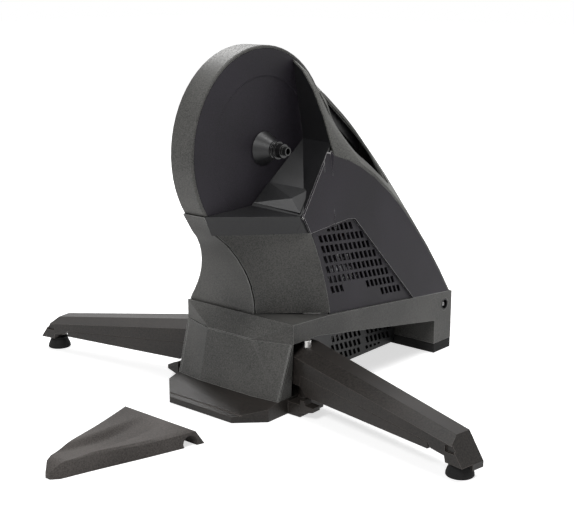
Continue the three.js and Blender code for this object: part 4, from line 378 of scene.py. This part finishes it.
def wound_wire(name):
    """Enamelled copper wire in even turns along X."""
    material, nodes, links, shader = new_material(name)
    place = nodes.new("ShaderNodeTexCoord")
    wave = nodes.new("ShaderNodeTexWave")
    wave.inputs["Scale"].default_value = WAVE_LENGTH / (WIRE * MM)
    wave.inputs["Distortion"].default_value = WIRE_WANDER
    links.new(place.outputs["Object"], wave.inputs["Vector"])
    turns = wave.outputs["Fac"]
    dark = [value * WIRE_GAP for value in COPPER]
    links.new(add_tone(nodes, links, turns, dark, COPPER), shader.inputs["Base Color"])
    gloss = add_range(nodes, links, add_noise(nodes, links, WIRE_PATCH), *WIRE_GLOSS)
    links.new(gloss, shader.inputs["Roughness"])
    add_relief(nodes, links, shader, turns, WIRE_RELIEF)
    shader.inputs["Metallic"].default_value = WIRE_METAL
    return material


steel = lathe_turned("steel", STEEL, rough=0.32)
rubber = grained("rubber", RUBBER_DARK, RUBBER_LIGHT, grain=1.4, rough=0.82, depth=0.06)
dress(steel, "flywheel", "flywheel_shaft", "belt_pinion", ease=0.6)
dress(steel, "shaft_bearing_near", "shaft_bearing_far", ease=0.6)
dress(steel, "idler_roller", "hub_bearing_near", "hub_bearing_far", ease=0.3)
dress(rubber, "drive_belt")
dress(frame_paint, "idler_arm", "brake_yoke", ease=0.4)
dress(pulley_metal, "drive_pulley", ease=0.5)
dress(wound_wire("coil"), "brake_coil_near", "brake_coil_far", ease=0.5)

# Control board and power socket: a green circuit board stands on four posts near the tail.
# The round socket beside it, of black plastic, comes out through the band.
BOARD_DARK = (0.008, 0.05, 0.022)
BOARD_LIGHT = (0.02, 0.1, 0.05)
BLACK_DARK = (0.004, 0.004, 0.0045)
BLACK_LIGHT = (0.012, 0.012, 0.013)
board = grained("board", BOARD_DARK, BOARD_LIGHT, grain=5, rough=0.35, depth=0.05, drift=20)
black_cover = grained(
    "black_cover", BLACK_DARK, BLACK_LIGHT, grain=1.6, rough=0.42, depth=0.05, shine=0.42,
)
dress(board, "control_board", ease=0.3)
dress(black_cover, "power_socket", ease=0.3)

# Socket contact: the bright plated sleeve over the centre pin of the power socket. It is
# turned, with a hole in its face, and pressed on.
CONTACT_BORE = 2.43
CONTACT_RADIUS = 3
CONTACT_HOLE = 1.2
CONTACT_DEPTH = 7
CONTACT_FACE = 0.5
FACE_BACK = 0.05
CONTACT_SIDES = 28
PIN_SETBACK = 3.3
socket_low, socket_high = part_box("power_socket")
contact_place = Vector((
    socket_high.x - PIN_SETBACK * MM,
    (socket_low.y + socket_high.y) / 2,
    (socket_low.z + socket_high.z) / 2,
))
contact_outline = [
    (-CONTACT_DEPTH, CONTACT_BORE), (-CONTACT_DEPTH, CONTACT_RADIUS),
    (CONTACT_FACE, CONTACT_RADIUS), (CONTACT_FACE, CONTACT_HOLE),
    (FACE_BACK, CONTACT_HOLE), (FACE_BACK, CONTACT_BORE),
]
contact = lathe_form(contact_outline, contact_place, ACROSS, CONTACT_SIDES)
add_piece("socket_contact", contact, zinc, "frame")

# Base band: the moulded tray that runs round the foot of the body and down into the
# tail, on a rubber foot. Like the neck and the case it is grey plastic, spark-eroded.
GREY_DARK = (0.03, 0.03, 0.0285)
GREY_LIGHT = (0.112, 0.11, 0.104)
# painted highlight colour for the edges of the grey covers
GREY_EDGE_HIGHLIGHT = (0.34, 0.34, 0.33)
grey_cover = grained(
    "grey_cover", GREY_DARK, GREY_LIGHT, grain=1.7, rough=0.52, depth=0.08, shine=0.3,
    edge_highlight=GREY_EDGE_HIGHLIGHT,
)
dress(grey_cover, "base_band", ease=0.7)
dress(rubber, "rear_foot", ease=0.8)

# Nose: a moulded grey panel in three facets with faint upright creases between them. It
# fits in front of a shroud whose side walls close the gap to the base plate.
dress(grey_cover, "nose_panel", group=CREASED)
dress(grey_cover, "nose_shroud", ease=0.5)

# Lower vents: thin upright plates of black plastic with slots, one on each side of the
# flywheel. They stand under the band and screen the flywheel from the legs.
dress(black_cover, "lower_vent_near", "lower_vent_far", ease=0.2)

# Neck: the scooped front cover, the shoulder panel on the near side and the flank cover
# that slopes out on the chain side, all moulded in grey. The narrow shelf on the near side
# has the black finish as painted shade, for the shadow of the disc and the recess over it.
dress(grey_cover, "neck_cover", ease=1.6)
dress(grey_cover, "flank_cover_far", "shoulder_panel_near", ease=0.5)
# painted shade: the shelf is black for the shadow over it
dress(black_cover, "shelf_cover_near", ease=0.5)

# Recess covers: matte black moulded walls beside the axle end, with a raised wedge on
# the near one. The far one leaves room for the cassette and the chain.
dress(black_cover, "recess_cover_near", group=CREASED)
dress(black_cover, "recess_cover_far", ease=0.4)

# Side panels and grilles: slate grey moulded plastic with a finer grain than the grey
# covers. Each panel has a window, and the slotted grille is set into it.
SLATE_DARK = (0.0056, 0.0046, 0.0066)
SLATE_LIGHT = (0.0225, 0.019, 0.0265)
# painted highlight colour for the side panels' edges; the grilles have none
SLATE_EDGE_HIGHLIGHT = (0.42, 0.41, 0.41)
SLATE_GRAIN = {"grain": 1.5, "rough": 0.55, "depth": 0.05}
slate_cover = grained("slate_cover", SLATE_DARK, SLATE_LIGHT, **SLATE_GRAIN, edge_highlight=SLATE_EDGE_HIGHLIGHT)
slate_grille = grained("slate_grille", SLATE_DARK, SLATE_LIGHT, **SLATE_GRAIN)
dress(slate_cover, "side_panel_near", "side_panel_far", group=CREASED)
dress(slate_grille, "grille_near", "grille_far", ease=0.2)

# Spine cover: the light grey moulded shell over the crest, with a finger opening on each
# side of the crest bar. The bar has a black lining under it, to lift the trainer by.
SPINE_DARK = (0.06, 0.06, 0.056)
SPINE_LIGHT = (0.19, 0.19, 0.18)
spine_finish = grained("spine_cover", SPINE_DARK, SPINE_LIGHT, grain=1.7, rough=0.6, depth=0.08)
dress(spine_finish, "spine_cover", ease=0.6)
dress(black_cover, "handle_grip", ease=0.6)

# Finger rims: a grey moulded strip clipped round the wall of each finger opening, a hair
# proud of the shell. Its path is the opening's own outline, laid on the shell from above.
RIM_OUTLINE = [
    (0.32, -0.42), (0.45, -0.485), (0.6, -0.53), (0.72, -0.495), (0.83, -0.42),
    (0.92, -0.29), (0.957, 0), (0.94, 0.38), (0.85, 0.53), (0.66, 0.57), (0.46, 0.5),
    (0.34, 0.28), (0.315, 0),
]
RIM_HALF_X = 85
RIM_LENGTH_Y = 110
RIM_MIDDLE_Y = 163
RIM_STEPS = 6
RIM_THICK = 2.6
RIM_DEPTH = 5
RIM_PROUD = 0.2
RIM_REACHES = (2.5, 1.6, 0.8, 0.3)  # outward steps, tried in turn, to where the shell is
RIM_LEAST_Z = 120
RAY_START_Z = 600
DOWN = Vector((0, 0, -1))


def smooth_loop(points, steps):
    """A closed curve through the points, with a few steps between each two."""
    loop = []
    for k in range(len(points)):
        a, b, c, d = (Vector(points[(k + shift) % len(points)]) for shift in (-1, 0, 1, 2))
        for step in range(steps):
            t = step / steps
            square = (2 * a - 5 * b + 4 * c - d) * t**2
            cube = (3 * b - a - 3 * c + d) * t**3
            loop.append(0.5 * (2 * b + (c - a) * t + square + cube))
    return loop


def finger_rim(side):
    """The strip round one finger opening, on the side of X given by 1 or -1. A point beyond
    which no ray meets the shell keeps the height of the point before it."""
    depsgraph = bpy.context.evaluated_depsgraph_get()
    spine = BVHTree.FromObject(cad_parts["spine_cover"], depsgraph)
    flat = [(side * RIM_HALF_X * a, RIM_MIDDLE_Y + RIM_LENGTH_Y * b) for a, b in RIM_OUTLINE]
    path = smooth_loop(flat, RIM_STEPS)
    middle = sum(path, Vector((0, 0))) / len(path)
    rows = []
    for k, point in enumerate(path):
        run = path[(k + 1) % len(path)] - path[k - 1]
        out = Vector((run.y, -run.x)).normalized()
        out = out if out.dot(point - middle) > 0 else -out
        for reach in RIM_REACHES:
            beyond = (point + out * reach) * MM
            start = Vector((beyond.x, beyond.y, RAY_START_Z * MM))
            hit = spine.ray_cast(start, DOWN)[0]
            if hit and hit.z > RIM_LEAST_Z * MM:
                top = hit.z + RIM_PROUD * MM
                break
        low = top - RIM_DEPTH * MM
        inner = point - out * RIM_THICK
        corners = [(point, top), (inner, top), (inner, low), (point, low)]
        rows.append([Vector((at.x * MM, at.y * MM, z)) for at, z in corners])
    form = bmesh.new()
    loop_skin(form, rows)
    return form


add_piece("finger_rim_near", finger_rim(1), spine_finish, "frame")
add_piece("finger_rim_far", finger_rim(-1), spine_finish, "frame")

# Pulley case and cover: a round cup moulded in grey, which houses the drive pulley. A flat
# slate disc is let into its open near side.
dress(grey_cover, "pulley_case", ease=0.5)
dress(slate_grille, "pulley_cover", ease=0.4)

# Hub: a matte black cone spacer, the hollow steel axle with its splined freehub body, and
# glossy black end caps that take the bike's dropouts.
CAP_DARK = (0.006, 0.006, 0.006)
CAP_LIGHT = (0.012, 0.012, 0.012)
gloss_cap = grained("gloss_cap", CAP_DARK, CAP_LIGHT, grain=8, rough=0.16, depth=0.01, shine=0.5)
dress(black_cover, "hub_cone", ease=0.4)
dress(gloss_cap, "end_cap_near", "end_cap_far", ease=0.4)
dress(steel, "hub_axle", "freehub_body", ease=0.3)

# Legs: pressed steel boxes with a moulded lower cover. They fold back about upright pins
# in the base plate's arms, and a sprung latch on each arm holds them open.
dress(leg_paint, "leg_near", "leg_far", group=CREASED)
dress(leg_paint, "leg_cover_near", "leg_cover_far", ease=0.6)
dress(steel, "leg_pin_near", "leg_pin_far", "foot_screw_near", "foot_screw_far", ease=0.4)
dress(leg_paint, "leg_latch_near", "leg_latch_far", ease=0.8)

# Foot pads: bell-shaped moulded rubber with a ridged neck, on the screws of the legs. Each
# is as tall and as wide as the plain pad of the CAD model that it stands for.
PAD_SHARES = [  # shares of the height and of the radius
    (0, 0), (0, 0.97), (0.04, 1), (0.2, 0.99), (0.45, 0.9), (0.68, 0.8), (0.8, 0.77),
    (0.83, 0.72), (0.89, 0.72), (0.92, 0.77), (0.97, 0.77), (1, 0.74), (1, 0),
]
PAD_CORE = 0.3
PAD_SIDES = 56
for side in ("near", "far"):
    pad_low, pad_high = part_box(f"foot_pad_{side}")
    pad_place = Vector(((pad_low.x + pad_high.x) / 2, (pad_low.y + pad_high.y) / 2, 0))
    tall, wide = pad_high.z / MM, (pad_high.x - pad_low.x) / 2 / MM
    pad_outline = [(tall * up, max(wide * out, PAD_CORE)) for up, out in PAD_SHARES]
    pad_form = lathe_form(pad_outline, pad_place, UP, PAD_SIDES)
    pad = add_piece(f"bell_pad_{side}", pad_form, rubber, f"{side}_foot")
    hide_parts(f"foot_pad_{side}")

# Wheel block: a leaf-shaped hollow riser of brown-grey plastic, moulded with a trough that
# holds the front tyre. It lies loose on the floor.
BLOCK_DARK = (0.034, 0.03, 0.028)
BLOCK_LIGHT = (0.1, 0.09, 0.084)
block_plastic = grained("block_plastic", BLOCK_DARK, BLOCK_LIGHT, grain=1.8, rough=0.7, depth=0.07)
dress(block_plastic, "wheel_block", ease=1.4)

# Studio: a white floor that keeps soft shadows near the trainer, two overhead soft boxes
# left and right, one in front, and a white surround that lights only a little. Where a ray
# comes straight from the camera or off a gloss, the floor and the surround show white.
WHITE = 1.0
AMBIENT = 0.08
FLOOR_HALF = 12
FLOOR_DROP = 0.0002
FLOOR_WHITE = 0.85
FLOOR_NEAR, FLOOR_FAR = 0.3, 1.2
GLOW_NEAR, GLOW_FAR = 0.66, 0.95


def soft_lamp(name, place, target, width, power):
    """A large square lamp that faces a target."""
    data = bpy.data.lights.new(name, "AREA")
    data.size = width
    data.energy = power
    lamp = bpy.data.objects.new(name, data)
    lamp.location = place
    lamp.rotation_euler = (Vector(target) - Vector(place)).to_track_quat("-Z", "Y").to_euler()
    scene.collection.objects.link(lamp)


soft_lamp("left_lamp", place=(-1.2, 1.1, 2), target=(0, 0, 0.25), width=1.2, power=38)
soft_lamp("right_lamp", place=(0.62, 0.5, 2.5), target=(0, 0, 0.25), width=1, power=26)
soft_lamp("front_lamp", place=(0.4, -2, 2.1), target=(0, 0, 0.2), width=1, power=34)


def add_seen_directly(nodes, links):
    """1 where a ray comes from the camera, a reflection or a clear piece, else 0."""
    path = nodes.new("ShaderNodeLightPath")
    seen = path.outputs["Is Camera Ray"]
    for kind in ("Is Glossy Ray", "Is Transmission Ray"):
        either = nodes.new("ShaderNodeMath")
        either.operation = "MAXIMUM"
        links.new(seen, either.inputs[0])
        links.new(path.outputs[kind], either.inputs[1])
        seen = either.outputs[0]
    return seen


world = bpy.data.worlds.new("studio")
scene.world = world
world.use_nodes = True
sky_nodes, sky_links = world.node_tree.nodes, world.node_tree.links
sky_nodes.clear()
surround = sky_nodes.new("ShaderNodeBackground")
surround.inputs["Color"].default_value = (WHITE, WHITE, WHITE, 1)
level = sky_nodes.new("ShaderNodeMapRange")
level.inputs["To Min"].default_value = AMBIENT
level.inputs["To Max"].default_value = WHITE
sky_links.new(add_seen_directly(sky_nodes, sky_links), level.inputs["Value"])
sky_links.new(level.outputs["Result"], surround.inputs["Strength"])
sky_output = sky_nodes.new("ShaderNodeOutputWorld")
sky_links.new(surround.outputs["Background"], sky_output.inputs["Surface"])

floor_mesh = bpy.data.meshes.new("floor")
floor_form = bmesh.new()
bmesh.ops.create_grid(floor_form, x_segments=1, y_segments=1, size=FLOOR_HALF)
floor_form.to_mesh(floor_mesh)
floor_form.free()
floor = bpy.data.objects.new("floor", floor_mesh)
floor.location.z = -FLOOR_DROP
scene.collection.objects.link(floor)
floor_paint, floor_nodes, floor_links, floor_shader = new_material("floor_paint")
floor_nodes.remove(floor_shader)
matt = floor_nodes.new("ShaderNodeBsdfDiffuse")
matt.inputs["Color"].default_value = (FLOOR_WHITE, FLOOR_WHITE, FLOOR_WHITE, 1)
glow = floor_nodes.new("ShaderNodeEmission")
floor_place = floor_nodes.new("ShaderNodeTexCoord")
distance = floor_nodes.new("ShaderNodeVectorMath")
distance.operation = "LENGTH"
floor_links.new(floor_place.outputs["Object"], distance.inputs[0])
growth = floor_nodes.new("ShaderNodeMapRange")
growth.interpolation_type = "SMOOTHSTEP"
growth.inputs["From Min"].default_value = FLOOR_NEAR
growth.inputs["From Max"].default_value = FLOOR_FAR
growth.inputs["To Min"].default_value = GLOW_NEAR
growth.inputs["To Max"].default_value = GLOW_FAR
floor_links.new(distance.outputs["Value"], growth.inputs["Value"])
glow_level = floor_nodes.new("ShaderNodeMath")
glow_level.operation = "MULTIPLY"
floor_links.new(growth.outputs["Result"], glow_level.inputs[1])
floor_links.new(add_seen_directly(floor_nodes, floor_links), glow_level.inputs[0])
floor_links.new(glow_level.outputs[0], glow.inputs["Strength"])
both = floor_nodes.new("ShaderNodeAddShader")
floor_links.new(matt.outputs[0], both.inputs[0])
floor_links.new(glow.outputs[0], both.inputs[1])
floor_links.new(both.outputs[0], floor_nodes["Material Output"].inputs["Surface"])
floor_mesh.materials.append(floor_paint)
